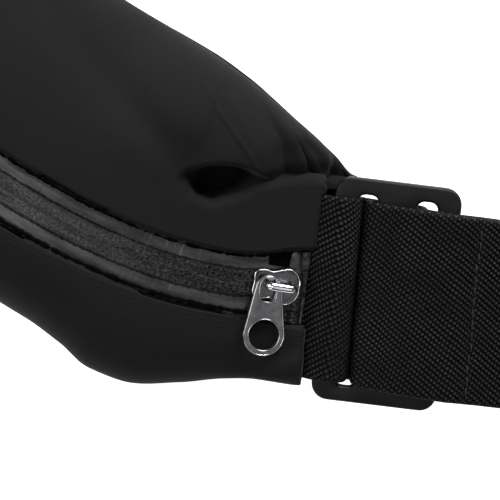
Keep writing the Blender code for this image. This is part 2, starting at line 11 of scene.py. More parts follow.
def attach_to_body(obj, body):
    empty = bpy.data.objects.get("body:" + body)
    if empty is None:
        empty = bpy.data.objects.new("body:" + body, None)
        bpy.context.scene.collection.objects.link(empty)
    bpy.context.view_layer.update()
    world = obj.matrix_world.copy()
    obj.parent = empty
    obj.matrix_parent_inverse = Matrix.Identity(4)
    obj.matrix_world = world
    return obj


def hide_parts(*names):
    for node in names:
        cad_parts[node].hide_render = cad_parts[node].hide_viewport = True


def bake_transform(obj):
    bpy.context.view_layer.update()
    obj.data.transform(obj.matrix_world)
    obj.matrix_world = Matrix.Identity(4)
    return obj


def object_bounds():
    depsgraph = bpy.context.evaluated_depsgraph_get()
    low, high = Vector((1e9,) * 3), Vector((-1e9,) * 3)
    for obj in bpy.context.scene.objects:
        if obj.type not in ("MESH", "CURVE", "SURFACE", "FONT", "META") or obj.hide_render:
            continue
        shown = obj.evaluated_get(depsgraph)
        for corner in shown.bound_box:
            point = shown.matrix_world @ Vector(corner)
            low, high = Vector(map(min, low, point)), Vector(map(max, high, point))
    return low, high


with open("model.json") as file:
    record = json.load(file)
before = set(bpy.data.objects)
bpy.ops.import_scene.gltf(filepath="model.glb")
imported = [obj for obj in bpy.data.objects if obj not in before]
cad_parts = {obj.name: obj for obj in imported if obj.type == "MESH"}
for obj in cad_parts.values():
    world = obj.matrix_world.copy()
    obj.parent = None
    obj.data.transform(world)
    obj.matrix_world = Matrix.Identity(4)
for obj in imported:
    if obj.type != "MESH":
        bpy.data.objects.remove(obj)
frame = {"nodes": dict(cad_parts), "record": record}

cad_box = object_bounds()
MM = 0.001
JOINTS = {joint["name"]: joint for joint in frame["record"]["behaviour"]["joints"]}
NODES = frame["nodes"]

# ---- the belt's own layout, as the CAD model has it (metres, degrees) -----------------
HUB = Vector(JOINTS["zip_slide"]["pos_m"])
ZIP_RADIUS = 0.143
ZIP_TILT = 19.0
ZIP_ROLL = 25.0
SEAM_ANGLE = 46.0
SLIDER_ANGLE = 43.24
WINDOW_HALF = 0.0063
TAPE_TOP = -0.0003
STRAP_DROP = 0.0012
STRAP_TILT = 12.0
STRAP_EDGE_Z = 0.0193
RIGHT_STRAIGHT = 0.060
RIGHT_BEND = 0.070
LEFT_STRAIGHT = 0.080
TWIST_LENGTH = 0.100
RIGHT_TWIST_START = 0.052
RIGHT_SPLIT = 0.095
LEFT_SPLIT = 0.130
WEB_WIDTH = 0.038
WEB_THICK = 0.0013
LAYER_OFFSET = 0.0008
GLIDE_START = 0.0028
GLIDE_BARS = (0.0046, 0.0044, 0.0076, 0.0044, 0.0046)
GLIDE_LENGTH = sum(GLIDE_BARS)
GLIDE_WIDTH = 0.046
GLIDE_THICK = 0.0026
GLIDE_SLOT_WIDTH = 0.0395
MOUTH_FROM_SEAM = 0.052
SOCKET_LENGTH = 0.036
PLUG_LENGTH = 0.018
BAR_LENGTH = 0.004
BAR_THICK = 0.003
GAP = 0.0003
ROW_ANGLE = math.radians(34.0)     # slant of the rows of knots against the strap's length
ROW_PITCH = 1.00                   # millimetres, as is the next line
KNOT_PITCH = 0.80
KNOT_HEIGHT = 0.50 * MM

OUTER_EDGE = ((0, 0.0190), (0.008, 0.0187), (0.014, 0.0196), (0.022, 0.0223), (0.032, 0.0251),
              (0.038, 0.0247), (0.044, 0.0222), (0.052, 0.0202), (0.062, 0.0195), (0.115, 0.0213))
INNER_EDGE = ((-0.0084, 0.0230), (-0.0024, 0.0271), (0.0016, 0.0300), (0.0056, 0.0323),
              (0.014, 0.0365), (0.022, 0.0398), (0.035, 0.0432), (0.048, 0.0448), (0.062, 0.0455),
              (0.115, 0.0468))
OUTER_EDGE_Z = ((0, 0.0163), (0.022, 0.0150), (0.050, 0.0170), (0.115, 0.0190))
INNER_EDGE_Z = ((-0.0084, 0.0205), (0, 0.0225), (0.022, 0.0220), (0.055, 0.0195),
                (0.115, 0.0190))
BED_Z = ((0, 0.0176), (0.002, 0.0152), (0.006, 0.0128), (0.012, 0.0096),
         (0.022, 0.0050), (0.034, 0.0012), (0.042, 0.0), (0.115, 0.0))


# ---- small maths ---------------------------------------------------------------------
def smooth_step(t):
    t = np.clip(t, 0.0, 1.0)
    return t * t * (3 - 2 * t)


def bump(x, centre, half_width):
    """1 at centre, falling smoothly to 0 at half_width either side."""
    return smooth_step(1 - np.abs(np.asarray(x) - centre) / half_width)


def rise(x, start, width):
    """0 up to start, then smoothly up to 1 over the width."""
    return smooth_step((x - start) / width)


def fall(x, start, width):
    """1 up to start, then smoothly down to 0 over the width."""
    return 1 - rise(x, start, width)


def spline(table, x):
    """Monotone smooth curve through a short (x, y) table."""
    xs = np.array([p[0] for p in table], float)
    ys = np.array([p[1] for p in table], float)
    steps = np.diff(xs)
    slopes = np.diff(ys) / steps
    tangents = np.zeros_like(ys)
    inner = slopes[:-1] * slopes[1:] > 0
    middle = 2 * slopes[:-1] * slopes[1:] / np.where(inner, slopes[:-1] + slopes[1:], 1)
    tangents[1:-1] = np.where(inner, middle, 0)
    x = np.clip(x, xs[0], xs[-1])
    i = np.clip(np.searchsorted(xs, x, side="right") - 1, 0, len(steps) - 1)
    t = (x - xs[i]) / steps[i]
    return ((2 * t ** 3 - 3 * t ** 2 + 1) * ys[i] + (t ** 3 - 2 * t ** 2 + t) * steps[i] * tangents[i]
            + (3 * t ** 2 - 2 * t ** 3) * ys[i + 1] + (t ** 3 - t ** 2) * steps[i] * tangents[i + 1])


def value_noise(x, y, seed=0):
    """Smooth noise in -1..1 on a unit lattice, the same on every run."""
    def corner(ix, iy):
        mixed = np.sin(ix * 127.1 + iy * 311.7 + seed * 74.7) * 43758.5453
        return (mixed - np.floor(mixed)) * 2 - 1
    ix, iy = np.floor(x), np.floor(y)
    fx, fy = smooth_step(x - ix), smooth_step(y - iy)
    low = corner(ix, iy) * (1 - fx) + corner(ix + 1, iy) * fx
    high = corner(ix, iy + 1) * (1 - fx) + corner(ix + 1, iy + 1) * fx
    return low * (1 - fy) + high * fy


def move(x, y, z):
    return Matrix.Translation((x, y, z))


def turn(degrees, axis):
    return Matrix.Rotation(math.radians(degrees), 4, axis)


def zip_frame(angle):
    """Frame on the zip line: X along the zip, Y to the inner side, Z out of its surface."""
    hub = move(*HUB) @ turn(-ZIP_TILT, "X")
    return hub @ turn(angle, "Z") @ move(0, -ZIP_RADIUS, 0) @ turn(ZIP_ROLL, "X")


class StrapPath:
    """Middle line of the strap from the right-hand seam round the back to the left."""

    def __init__(self):
        seam = zip_frame(SEAM_ANGLE)
        start = seam.translation
        heading = math.atan2(seam.col[0].y, seam.col[0].x)
        bend_turn = math.pi - heading
        side = Vector((-math.sin(heading), math.cos(heading)))
        along = Vector((math.cos(heading), math.sin(heading)))
        self.base_z = start.z - STRAP_DROP
        first = Vector(start.xy)
        corner = first + along * RIGHT_STRAIGHT
        right_centre = corner + side * RIGHT_BEND
        back_y = right_centre.y + RIGHT_BEND
        left_corner = (Vector((2 * HUB.x - first.x, first.y))
                       + Vector((-along.x, along.y)) * LEFT_STRAIGHT)
        bend = (back_y - left_corner.y) / (1 + side.y)
        left_centre = left_corner + Vector((-side.x, side.y)) * bend
        self.runs = [
            ("line", first, heading, 0.0, RIGHT_STRAIGHT),
            ("arc", right_centre, heading, RIGHT_BEND, RIGHT_BEND * bend_turn),
            ("line", Vector((right_centre.x, back_y)), math.pi, 0.0, right_centre.x - left_centre.x),
            ("arc", left_centre, math.pi, bend, bend * bend_turn),
            ("line", left_corner, math.pi + bend_turn, 0.0, LEFT_STRAIGHT)]
        self.length = sum(run[-1] for run in self.runs)

    def frame(self, s):
        """X along the strap, Y across it to the inner edge, Z out of its face."""
        rest = s
        for kind, point, heading, radius, length in self.runs:
            if rest <= length:
                break
            rest -= length
        if rest > length:
            rest = length
        if kind == "line":
            place = point + Vector((math.cos(heading), math.sin(heading))) * rest
        else:
            heading += rest / radius
            place = point + Vector((math.sin(heading), -math.cos(heading))) * radius
        left = self.length - s - LEFT_STRAIGHT
        twist = float(smooth_step(min((s - RIGHT_TWIST_START) / TWIST_LENGTH, left / TWIST_LENGTH)))
        tilt = STRAP_TILT + (90 - STRAP_TILT) * twist
        height = self.base_z + (STRAP_EDGE_Z - self.base_z) * twist
        flat = move(place.x, place.y, height) @ Matrix.Rotation(heading, 4, "Z")
        return flat @ turn(tilt, "X")


PATH = StrapPath()
SEAM = zip_frame(SEAM_ANGLE)


# ---- mesh making ---------------------------------------------------------------------
def link(obj):
    bpy.context.scene.collection.objects.link(obj)
    return obj


def mesh_piece(name, points, faces, material, uv=None, smooth=True):
    mesh = bpy.data.meshes.new(name)
    mesh.from_pydata([tuple(p) for p in points], [], [tuple(f) for f in faces])
    mesh.materials.append(material)
    if uv is not None:
        layer = mesh.uv_layers.new(name="weave")
        corners = np.zeros(len(mesh.loops), dtype=np.int32)
        mesh.loops.foreach_get("vertex_index", corners)
        layer.data.foreach_set("uv", np.asarray(uv, np.float32)[corners].ravel())
    if smooth:
        mesh.shade_smooth()
    return link(bpy.data.objects.new(name, mesh))


def grid_faces(rows, columns, closed_columns=False):
    i, j = np.meshgrid(np.arange(rows - 1), np.arange(columns if closed_columns else columns - 1),
                       indexing="ij")
    k = (j + 1) % columns
    a = i * columns
    return np.stack([a + j, a + k, a + columns + k, a + columns + j], -1).reshape(-1, 4)


def grid_piece(name, grid, uv, material, flip=False):
    """Open surface through a (rows, columns, 3) grid of points."""
    rows, columns = grid.shape[:2]
    faces = grid_faces(rows, columns)
    if flip:
        faces = faces[:, ::-1]
    return mesh_piece(name, grid.reshape(-1, 3), faces, material, uv.reshape(-1, 2))


def thicken(obj, depth):
    modifier = obj.modifiers.new("cloth_thickness", "SOLIDIFY")
    modifier.thickness = depth
    modifier.offset = -1.0
    modifier.use_even_offset = False


def tube_piece(name, line, radius, material, sides=8, closed=False):
    """Round tube along points; radius may be a number or one value per point."""
    line = np.asarray(line, float)
    count = len(line)
    radius = np.broadcast_to(radius, count)
    if closed:
        along = np.roll(line, -1, 0) - np.roll(line, 1, 0)
    else:
        along = np.gradient(line, axis=0)
    along /= np.linalg.norm(along, axis=1)[:, None]
    side = np.cross(along[0], [0, 0, 1.0])
    if np.linalg.norm(side) < 0.1:
        side = np.cross(along[0], [1.0, 0, 0])
    rings = []
    for i in range(count):
        side = side - along[i] * np.dot(side, along[i])
        side = side / np.linalg.norm(side)
        up = np.cross(along[i], side)
        angles = np.arange(sides) * 2 * np.pi / sides
        rings.append(line[i] + radius[i] * (np.cos(angles)[:, None] * side
                                            + np.sin(angles)[:, None] * up))
    points = np.concatenate(rings)
    faces = [tuple(f) for f in grid_faces(count, sides, True)]
    if closed:
        last = (count - 1) * sides
        faces += [(last + j, last + (j + 1) % sides, (j + 1) % sides, j) for j in range(sides)]
    else:
        faces += [tuple(range(sides))[::-1], tuple(range((count - 1) * sides, count * sides))]
    return mesh_piece(name, points, faces, material)


def attach(obj, body, slot, *replaced):
    """The piece moves with a body and stands for the named CAD nodes, which are hidden; slot is not used."""
    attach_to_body(obj, body)
    if replaced:
        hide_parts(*replaced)


def cloth_piece(name, grid, uv, material, thickness, slot, *replaced, flip=False):
    """A thickened sheet of the belt."""
    piece = grid_piece(name, grid, uv / MM, material, flip)
    thicken(piece, thickness)
    attach(piece, "belt", slot, *replaced)


def apply_modifiers(obj):
    graph = bpy.context.evaluated_depsgraph_get()
    mesh = bpy.data.meshes.new_from_object(obj.evaluated_get(graph))
    obj.modifiers.clear()
    obj.data = mesh


# ---- materials -----------------------------------------------------------------------
class Shader:
    """A Principled material with a few short helpers for its nodes."""

    def __init__(self, name, colour, roughness, metallic=0.0, **settings):
        self.material = bpy.data.materials.new(name)
        self.material.use_nodes = True
        self.tree = self.material.node_tree
        self.base = self.tree.nodes["Principled BSDF"]
        self.base.inputs["Base Color"].default_value = (*colour, 1)
        self.base.inputs["Roughness"].default_value = roughness
        self.base.inputs["Metallic"].default_value = metallic
        for key, value in settings.items():
            self.base.inputs[key.replace("_", " ")].default_value = value
        self.material.diffuse_color = (*colour, 1)

    def node(self, kind, values=(), **settings):
        node = self.tree.nodes.new("ShaderNode" + kind)
        for key, value in settings.items():
            setattr(node, key, value)
        for key, value in dict(values).items():
            if isinstance(value, bpy.types.NodeSocket):
                self.tree.links.new(value, node.inputs[key])
            else:
                node.inputs[key].default_value = value
        return node

    def math(self, operation, a, b=0.0):
        return self.node("Math", {0: a, 1: b}, operation=operation).outputs[0]

    def add(self, a, b):
        return self.math("ADD", a, b)

    def minus(self, a, b):
        return self.math("SUBTRACT", a, b)

    def times(self, a, b):
        return self.math("MULTIPLY", a, b)

    def scaled(self, vector, x, y):
        return self.node("Mapping", {"Vector": vector, "Scale": (x, y, 1)}).outputs[0]

    def weave(self):
        """Place on the cloth in millimetres: along it, then across it."""
        return self.scaled(self.node("UVMap", uv_map="weave").outputs[0], 1, 1)

    def noise(self, vector, scale, detail=2.0, roughness=0.5):
        values = {"Vector": vector, "Scale": scale, "Detail": detail, "Roughness": roughness}
        return self.node("TexNoise", values).outputs["Fac"]

    def grain(self, scale, detail=2.0, roughness=0.5):
        """Noise in the piece's own space."""
        place = self.scaled(self.node("TexCoord").outputs["Object"], 1, 1)
        return self.noise(place, scale, detail, roughness)

    def ramp(self, factor, low, high, start=0.0, end=1.0):
        values = {"Value": factor, "From Min": start, "From Max": end, "To Min": low, "To Max": high}
        return self.node("MapRange", values).outputs[0]

    def colours(self, factor, dark, light):
        values = {0: factor, 6: (*dark, 1), 7: (*light, 1)}
        return self.node("Mix", values, data_type="RGBA").outputs[2]

    def bump(self, height, distance, strength):
        values = {"Height": height, "Distance": distance, "Strength": strength}
        return self.node("Bump", values).outputs[0]

    def set(self, **links):
        for key, socket in links.items():
            self.tree.links.new(socket, self.base.inputs[key.replace("_", " ")])
        return self.material


def knit_material(name, dark, light, sheen):
    """Fine stretch jersey: tiny columns of stitches, soft fuzz and slow tone changes."""
    s = Shader(name, light, 0.86, Sheen_Weight=sheen, Sheen_Roughness=0.35,
               Specular_IOR_Level=0.10, Sheen_Tint=(0.75, 0.77, 0.8, 1))
    weave = s.weave()
    split = s.node("SeparateXYZ", {0: weave})
    courses = s.math("SINE", s.times(split.outputs[1], 2 * math.pi / 0.55))
    columns = s.math("SINE", s.times(split.outputs[0], 2 * math.pi / 0.48))
    beside_zip = s.ramp(split.outputs[1], 1.0, 0.22, 9.0, 14.0)
    ribs = s.times(courses, beside_zip)
    fuzz = s.noise(weave, 3.2, 4.0, 0.7)
    slow = s.grain(26.0, 3.0)
    tone = s.add(s.times(slow, 0.5), s.times(fuzz, 0.5))
    tone = s.add(tone, s.times(ribs, 0.03))
    height = s.add(s.times(ribs, 0.22), fuzz)
    height = s.add(height, s.times(s.times(columns, courses), 0.25))
    return s.set(Base_Color=s.colours(s.ramp(tone, 0, 1, 0.3, 0.7), dark, light),
                 Roughness=s.ramp(fuzz, 0.78, 0.95, 0.3, 0.7),
                 Normal=s.bump(height, 0.00010, 0.6))


def laminate_material():
    """Film-coated zip tape: smooth, softly glossy film; the band over the coils is embossed,
    duller and mottled, with a thin line down each side painted dark as the shade of the groove there."""
    s = Shader("laminated_tape", (0.012, 0.012, 0.0125), 0.30, Specular_IOR_Level=0.50)
    weave = s.weave()
    split = s.node("SeparateXYZ", {0: weave})
    across = s.math("MODULO", split.outputs[1], 20.0)
    fine = s.noise(weave, 4.0, 3.0, 0.6)
    cells = s.noise(s.scaled(weave, 1.3, 2.4), 1.3, 2.0)
    ragged = s.ramp(cells, -0.16, 0.16, 0.35, 0.65)
    edge = s.math("ABSOLUTE", s.minus(s.add(across, ragged), 2.75))
    # painted shade: a thin dark line along each band edge stands in for the shade of the groove there
    seam = s.ramp(edge, 1.0, 0.0, 0.16, 0.34)
    band = s.ramp(across, 1.0, 0.0, 2.5, 2.9)
    mottle = s.times(band, s.ramp(cells, 0.95, 0.10, 0.40, 0.60))
    wear = s.ramp(split.outputs[0], 1.0, 0.55, 22.0, 50.0)      # smoother away from the slider
    # the real duller, mottled band together with the painted groove shade
    dull_band_and_groove_shade = s.math("MAXIMUM", s.times(mottle, wear), s.times(seam, 0.85))
    lines = s.noise(s.scaled(weave, 1.9, 0.25), 1.4, 2.0)
    height = s.add(s.times(lines, 0.6), s.times(fine, 0.25))
    rub = s.ramp(s.noise(weave, 1.2, 4.0), 0.24, 0.36, 0.3, 0.7)
    streaks = s.noise(s.scaled(weave, 0.09, 0.5), 1.0, 2.0)
    gloss = s.times(s.ramp(streaks, 0.26, 0.62, 0.38, 0.58), s.ramp(dull_band_and_groove_shade, 1.0, 0.1))
    return s.set(Base_Color=s.colours(dull_band_and_groove_shade, (0.013, 0.013, 0.0135), (0.0012, 0.0012, 0.0013)),
                 Specular_IOR_Level=gloss,
                 Roughness=s.add(rub, s.times(dull_band_and_groove_shade, 0.25)),
                 Normal=s.bump(height, 0.00006, 0.5))


def webbing_material():
    """Elastic webbing: the same slanting rows of knots as the mesh, with painted highlight on the knot tops
    and painted shade between them.
    """
    s = Shader("elastic_webbing", (0.014, 0.014, 0.0145), 0.75, Sheen_Weight=0.015,
               Sheen_Roughness=0.4, Specular_IOR_Level=0.10)
    weave = s.weave()
    split = s.node("SeparateXYZ", {0: weave})
    u, v = split.outputs[0], split.outputs[1]
    cos, sin = math.cos(ROW_ANGLE), math.sin(ROW_ANGLE)
    along = s.minus(s.times(u, cos), s.times(v, sin))
    across = s.add(s.times(u, sin), s.times(v, cos))
    across = s.math("DIVIDE", across, ROW_PITCH)
    row = s.math("FLOOR", across)
    along = s.add(s.math("DIVIDE", along, KNOT_PITCH), s.times(row, 0.5))
    fa = s.minus(s.math("FRACT", along), 0.5)
    fb = s.minus(s.math("FRACT", across), 0.5)
    far = s.add(s.times(s.times(fa, fa), 0.7), s.times(fb, fb))
    # painted highlight and painted shade: colour runs from near black between the knots to light on their
    # tops, over the real relief
    knot = s.math("POWER", s.ramp(far, 1.0, 0.0, 0.0, 0.20), 3.2)
    fibre = s.noise(weave, 7.0, 3.0, 0.65)
    tone = s.times(knot, s.ramp(fibre, 0.45, 1.25, 0.25, 0.75))
    height = s.add(knot, s.times(fibre, 0.5))
    return s.set(Base_Color=s.colours(tone, (0.0001, 0.0001, 0.0001), (0.034, 0.034, 0.0348)),
                 Roughness=s.ramp(fibre, 0.6, 0.9, 0.3, 0.7),
                 Normal=s.bump(height, 0.00018, 0.6))


def yarn_material(name, dark, light):
    s = Shader(name, light, 0.7, Sheen_Weight=0.05, Specular_IOR_Level=0.2)
    twist = s.grain(2600.0, 2.0)
    return s.set(Base_Color=s.colours(s.ramp(twist, 0, 1, 0.3, 0.7), dark, light),
                 Normal=s.bump(twist, 0.00006, 0.6))


def frayed_edge_shade_material():
    """Raw fabric edge: almost black lint that gives no highlight; its near-black colour is partly painted
    shade, for the gap beside the zip and under the hem at the tape's end.
    """
    s = Shader("cut_edge_painted_shade", (0.0008, 0.0008, 0.0008), 1.0, Specular_IOR_Level=0.02)
    lint = s.grain(2200.0, 3.0)
    return s.set(Base_Color=s.colours(s.ramp(lint, 0, 1, 0.4, 0.6), (0.0004, 0.0004, 0.0004),
                                      (0.0016, 0.0016, 0.0017)))


def moulded_material():
    """Moulded acetal with a fine spark texture and patchy tone and roughness."""
    s = Shader("moulded_plastic", (0.0050, 0.0050, 0.0053), 0.46, Specular_IOR_Level=0.15)
    grain = s.grain(2400.0, 3.0, 0.6)
    patches = s.grain(160.0, 4.0, 0.6)
    return s.set(Base_Color=s.colours(s.ramp(patches, 0, 1, 0.35, 0.7), (0.0040, 0.0040, 0.0043),
                                      (0.0080, 0.0080, 0.0083)),
                 Roughness=s.ramp(s.add(grain, patches), 0.38, 0.54, 0.7, 1.3),
                 Normal=s.bump(grain, 0.00004, 0.45))


def gunmetal_material(name, dark, light, low, high, depth):
    s = Shader(name, light, low, 1.0)
    speckle = s.grain(5200.0, 3.0, 0.7)
    cloud = s.grain(700.0, 4.0, 0.6)
    return s.set(Base_Color=s.colours(s.ramp(cloud, 0, 1, 0.3, 0.7), dark, light),
                 Roughness=s.ramp(s.add(speckle, cloud), low, high, 0.7, 1.3),
                 Normal=s.bump(speckle, depth, 0.5))


def nylon_material():
    s = Shader("zip_coil_nylon", (0.014, 0.014, 0.015), 0.42)
    fine = s.grain(1500.0, 2.0)
    return s.set(Roughness=s.ramp(fine, 0.35, 0.55, 0.3, 0.7), Normal=s.bump(fine, 0.00005, 0.4))


def floor_material():
    s = Shader("studio_floor", (0.88, 0.88, 0.885), 0.6, Specular_IOR_Level=0.2,
               Emission_Color=(1, 1, 1, 1), Emission_Strength=0.68)
    soft = s.grain(3.0, 2.0)
    return s.set(Roughness=s.ramp(soft, 0.55, 0.65, 0.3, 0.7))


KNIT = knit_material("stretch_fabric", (0.0051, 0.0051, 0.0053), (0.0085, 0.0085, 0.0088), 0.045)
BACKING = knit_material("back_fabric", (0.0065, 0.0065, 0.0068), (0.010, 0.010, 0.0103), 0.05)
LAMINATE = laminate_material()
WEBBING = webbing_material()
YARN = yarn_material("sewing_thread", (0.006, 0.006, 0.0063), (0.015, 0.015, 0.0155))
MOULDED = moulded_material()
GUNMETAL = gunmetal_material("gunmetal_matte", (0.10, 0.10, 0.104), (0.19, 0.19, 0.197),
                             0.30, 0.46, 0.00004)
DARK_METAL = gunmetal_material("gunmetal_dark", (0.05, 0.05, 0.053), (0.10, 0.10, 0.105),
                               0.16, 0.30, 0.00001)
POLISHED = gunmetal_material("gunmetal_polished", (0.62, 0.62, 0.64), (0.80, 0.80, 0.82),
                             0.10, 0.20, 0.00001)
RIM = gunmetal_material("gunmetal_rim", (0.34, 0.34, 0.35), (0.46, 0.46, 0.47),
                        0.14, 0.24, 0.00001)
NYLON = nylon_material()
# near-black edge material: frayed edge colour that is also painted shade
SHADOW_EDGE = frayed_edge_shade_material()


# ---- pouch skins ---------------------------------------------------------------------
# d is the distance from the right-hand seam along the zip, l the distance from the zip line
FABRIC = 0.0007
EDGE_LIFT = 0.0008              # height of a front panel's edge over the zip
UPPER_PULL = 0.55              # how full the panels are, as a share of their width
LOWER_PULL = 0.6
RIM_PULL = 0.55
LEAST_DROP = 0.0006
HEM_WIDTH = 0.0007             # the seam allowance pressed down at both ends of the pouch
HEM_DEPTH = 0.0005
FOLD_TOP = ((-0.0060, 0.0226), (0.0032, 0.0226), (0.0060, 0.0220), (0.0096, 0.0212),
            (0.0132, 0.0196), (0.0172, 0.0170), (0.0212, 0.0148), (0.0244, 0.0134),
            (0.0274, 0.0136), (0.0300, 0.0150), (0.0314, 0.0170))
PUFF_REACH = 0.0084            # how far the puff runs past the seam, behind the tri-glide
STRAP_HALF = 0.0195
POUCH_LENGTH = math.radians(2 * SEAM_ANGLE) * ZIP_RADIUS
DETAIL_END = 0.050             # the panels are finely divided up to here, where the folds are
TAPE_THICK = 0.00035
PATCH_THICK = 0.0004


def zip_axes(d):
    """Point, tangent, inner direction and normal of the zip line, for an array of d."""
    angle = np.radians(SEAM_ANGLE) - np.maximum(d, 0) / ZIP_RADIUS
    tilt, roll = math.radians(ZIP_TILT), math.radians(ZIP_ROLL)
    x_axis = np.array([1.0, 0, 0])
    out = np.array([0, -math.cos(tilt), math.sin(tilt)])
    axis = np.array([0, math.sin(tilt), math.cos(tilt)])
    sin, cos = np.sin(angle)[..., None], np.cos(angle)[..., None]
    radial = sin * x_axis + cos * out
    tangent = cos * x_axis - sin * out
    inner = -math.cos(roll) * radial + math.sin(roll) * axis
    normal = math.sin(roll) * radial + math.cos(roll) * axis
    point = np.array(HUB) + ZIP_RADIUS * radial + tangent * np.maximum(-d, 0)[..., None]
    return point, tangent, inner, normal


def end_distance(d):
    """Distance from the nearer end seam; negative past the right-hand one."""
    return np.where(d < POUCH_LENGTH / 2, d, POUCH_LENGTH - d)


WINDOW_DRIFT = ((0, 0.0010), (0.004, 0.0007), (0.009, 0.0), (0.016, -0.0009), (0.028, -0.0013),
                (0.045, -0.0009), (0.070, 0.0), (0.115, 0.0))
UPPER_WIDEN = ((0, 0.0012), (0.004, 0.0011), (0.010, 0.0004), (0.018, 0.0), (0.115, 0.0))
LOWER_WIDEN = ((0, 0.0029), (0.003, 0.0027), (0.008, 0.0012), (0.014, 0.0002), (0.020, 0.0),
               (0.115, 0.0))


def stations(fine, coarse):
    """Places along the pouch: close together where the folds are, then wider apart."""
    near, far = np.arange(0, DETAIL_END, fine), np.arange(DETAIL_END, POUCH_LENGTH, coarse)
    return np.concatenate([near, far, [POUCH_LENGTH]])


def over_zip(d, across, up):
    """Points at d, so far across the zip line and so far up from its surface."""
    point, _, inner, normal = zip_axes(d)
    return point + inner * across[..., None] + normal * np.asarray(up)[..., None]


def drift(d):
    """How far the sewn-in zip strays sideways from its ideal line."""
    return np.where(np.asarray(d) < POUCH_LENGTH / 2, spline(WINDOW_DRIFT, np.abs(d)), 0.0)


def window_edge(d, side):
    """Distance of a panel's edge from the ideal zip line."""
    widen = spline(UPPER_WIDEN if side > 0 else LOWER_WIDEN, np.abs(d))
    return WINDOW_HALF + side * drift(d) + widen


def rim_point(d, side, inset=0.0):
    point, tangent, _, _ = zip_axes(d)
    along = tangent * [1, 1, 0]
    along /= np.linalg.norm(along, axis=-1, keepdims=True)
    inward = np.stack([-along[..., 1], along[..., 0], 0 * along[..., 0]], -1)
    near = end_distance(d)
    reach = spline(INNER_EDGE if side > 0 else OUTER_EDGE, near)
    height = spline(INNER_EDGE_Z if side > 0 else OUTER_EDGE_Z, near)
    rim = point + inward * side * (reach - inset)[..., None]
    rim[..., 2] = height
    return rim, reach, inward


def bezier(a, b, c, d, t):
    t = t[..., None]
    r = 1 - t
    return a * r ** 3 + 3 * b * r * r * t + 3 * c * r * t * t + d * t ** 3


def slope(start, rim, outward, pull, t):
    """A full curve that leaves the zip outward and comes down steeply onto the rim."""
    span = np.linalg.norm((rim - start)[..., :2], axis=-1)[..., None]
    drop = np.maximum(LEAST_DROP, start[..., 2] - rim[..., 2])[..., None] * [0, 0, 1.0]
    return bezier(start, start + outward * span * pull, rim + drop * RIM_PULL, rim, t)


def line_distance(d, l, line):
    """Distance to a polyline, and how far along it the nearest point is (0 to 1)."""
    best = np.full(d.shape, 1.0)
    where = np.zeros(d.shape)
    total = len(line) - 1
    for i, ((d0, l0), (d1, l1)) in enumerate(zip(line, line[1:])):
        length = (d1 - d0) ** 2 + (l1 - l0) ** 2
        t = np.clip(((d - d0) * (d1 - d0) + (l - l0) * (l1 - l0)) / length, 0, 1)
        gap = np.hypot(d - d0 - t * (d1 - d0), l - l0 - t * (l1 - l0))
        where = np.where(gap < best, (i + t) / total, where)
        best = np.minimum(gap, best)
    return best, where


def crease(d, l, line, height, width, power=1.4):
    """A ridge (or a valley) along a line, fading out towards its first point."""
    gap, where = line_distance(d, l, line)
    return height * np.exp(-(gap / width) ** power) * smooth_step(where * 3.0)


RIDGES = (  # points (d, l) from the rim towards the strap, height, width
    (((0.0370, 0.0390), (0.0330, 0.0358), (0.0298, 0.0328), (0.0242, 0.0292), (0.0190, 0.0254),
      (0.0142, 0.0206)), 0.00030, 0.00040),
    (((0.0300, 0.0380), (0.0255, 0.0345), (0.0205, 0.0295), (0.0165, 0.0255)), 0.00045, 0.00320),
    (((0.0190, 0.0375), (0.0150, 0.0346), (0.0104, 0.0314), (0.0068, 0.0270), (0.0042, 0.0228)),
     0.00075, 0.00095),
    (((0.0130, 0.0335), (0.0102, 0.0322), (0.0078, 0.0306), (0.0040, 0.0270), (-0.0004, 0.0228)),
     0.00055, 0.00070),
    (((0.0200, 0.0378), (0.0156, 0.0340), (0.0124, 0.0300), (0.0106, 0.0260), (0.0094, 0.0232)),
     -0.00120, 0.00240),
    (((0.0110, 0.0326), (0.0090, 0.0312), (0.0055, 0.0270), (0.0018, 0.0228)), -0.00040, 0.00090),
)
POCKET_MIDDLE = (0.0228, 0.0175)
POCKET_SIZE = (0.0100, 0.0046, 0.0135)     # half length, half width and depth
POCKET_TURN = math.radians(-12)
UNDERCUT = 0.20                 # how far its upper wall leans back under the puff, per depth
CREST_REACH = 0.0085            # from the fold to the top of the puff behind it
CREST_HEIGHT = 0.0030
PAST_DROP = 0.0034              # past the seam the puff's top lies this far below the zip
TUCK_DEPTH = 0.0017             # the groove just behind the flap's top edge
FLAP_HEIGHT = 0.0009
FLAP_EDGE = 0.0006              # its top edge is lower by this
FLAP_DROP = 0.0050              # and its end goes down into the seam


def pocket_depth(d, l):
    """Deep oval hollow: steep all round, softest along its upper side."""
    du, dv = d - POCKET_MIDDLE[0], l - POCKET_MIDDLE[1]
    along = du * math.cos(POCKET_TURN) + dv * math.sin(POCKET_TURN)
    across = -du * math.sin(POCKET_TURN) + dv * math.cos(POCKET_TURN)
    length, width, depth = POCKET_SIZE
    radius = np.hypot(along / length, np.maximum(across, -0.25 * width) / width)
    return depth * fall(radius, 0.38, 0.80)


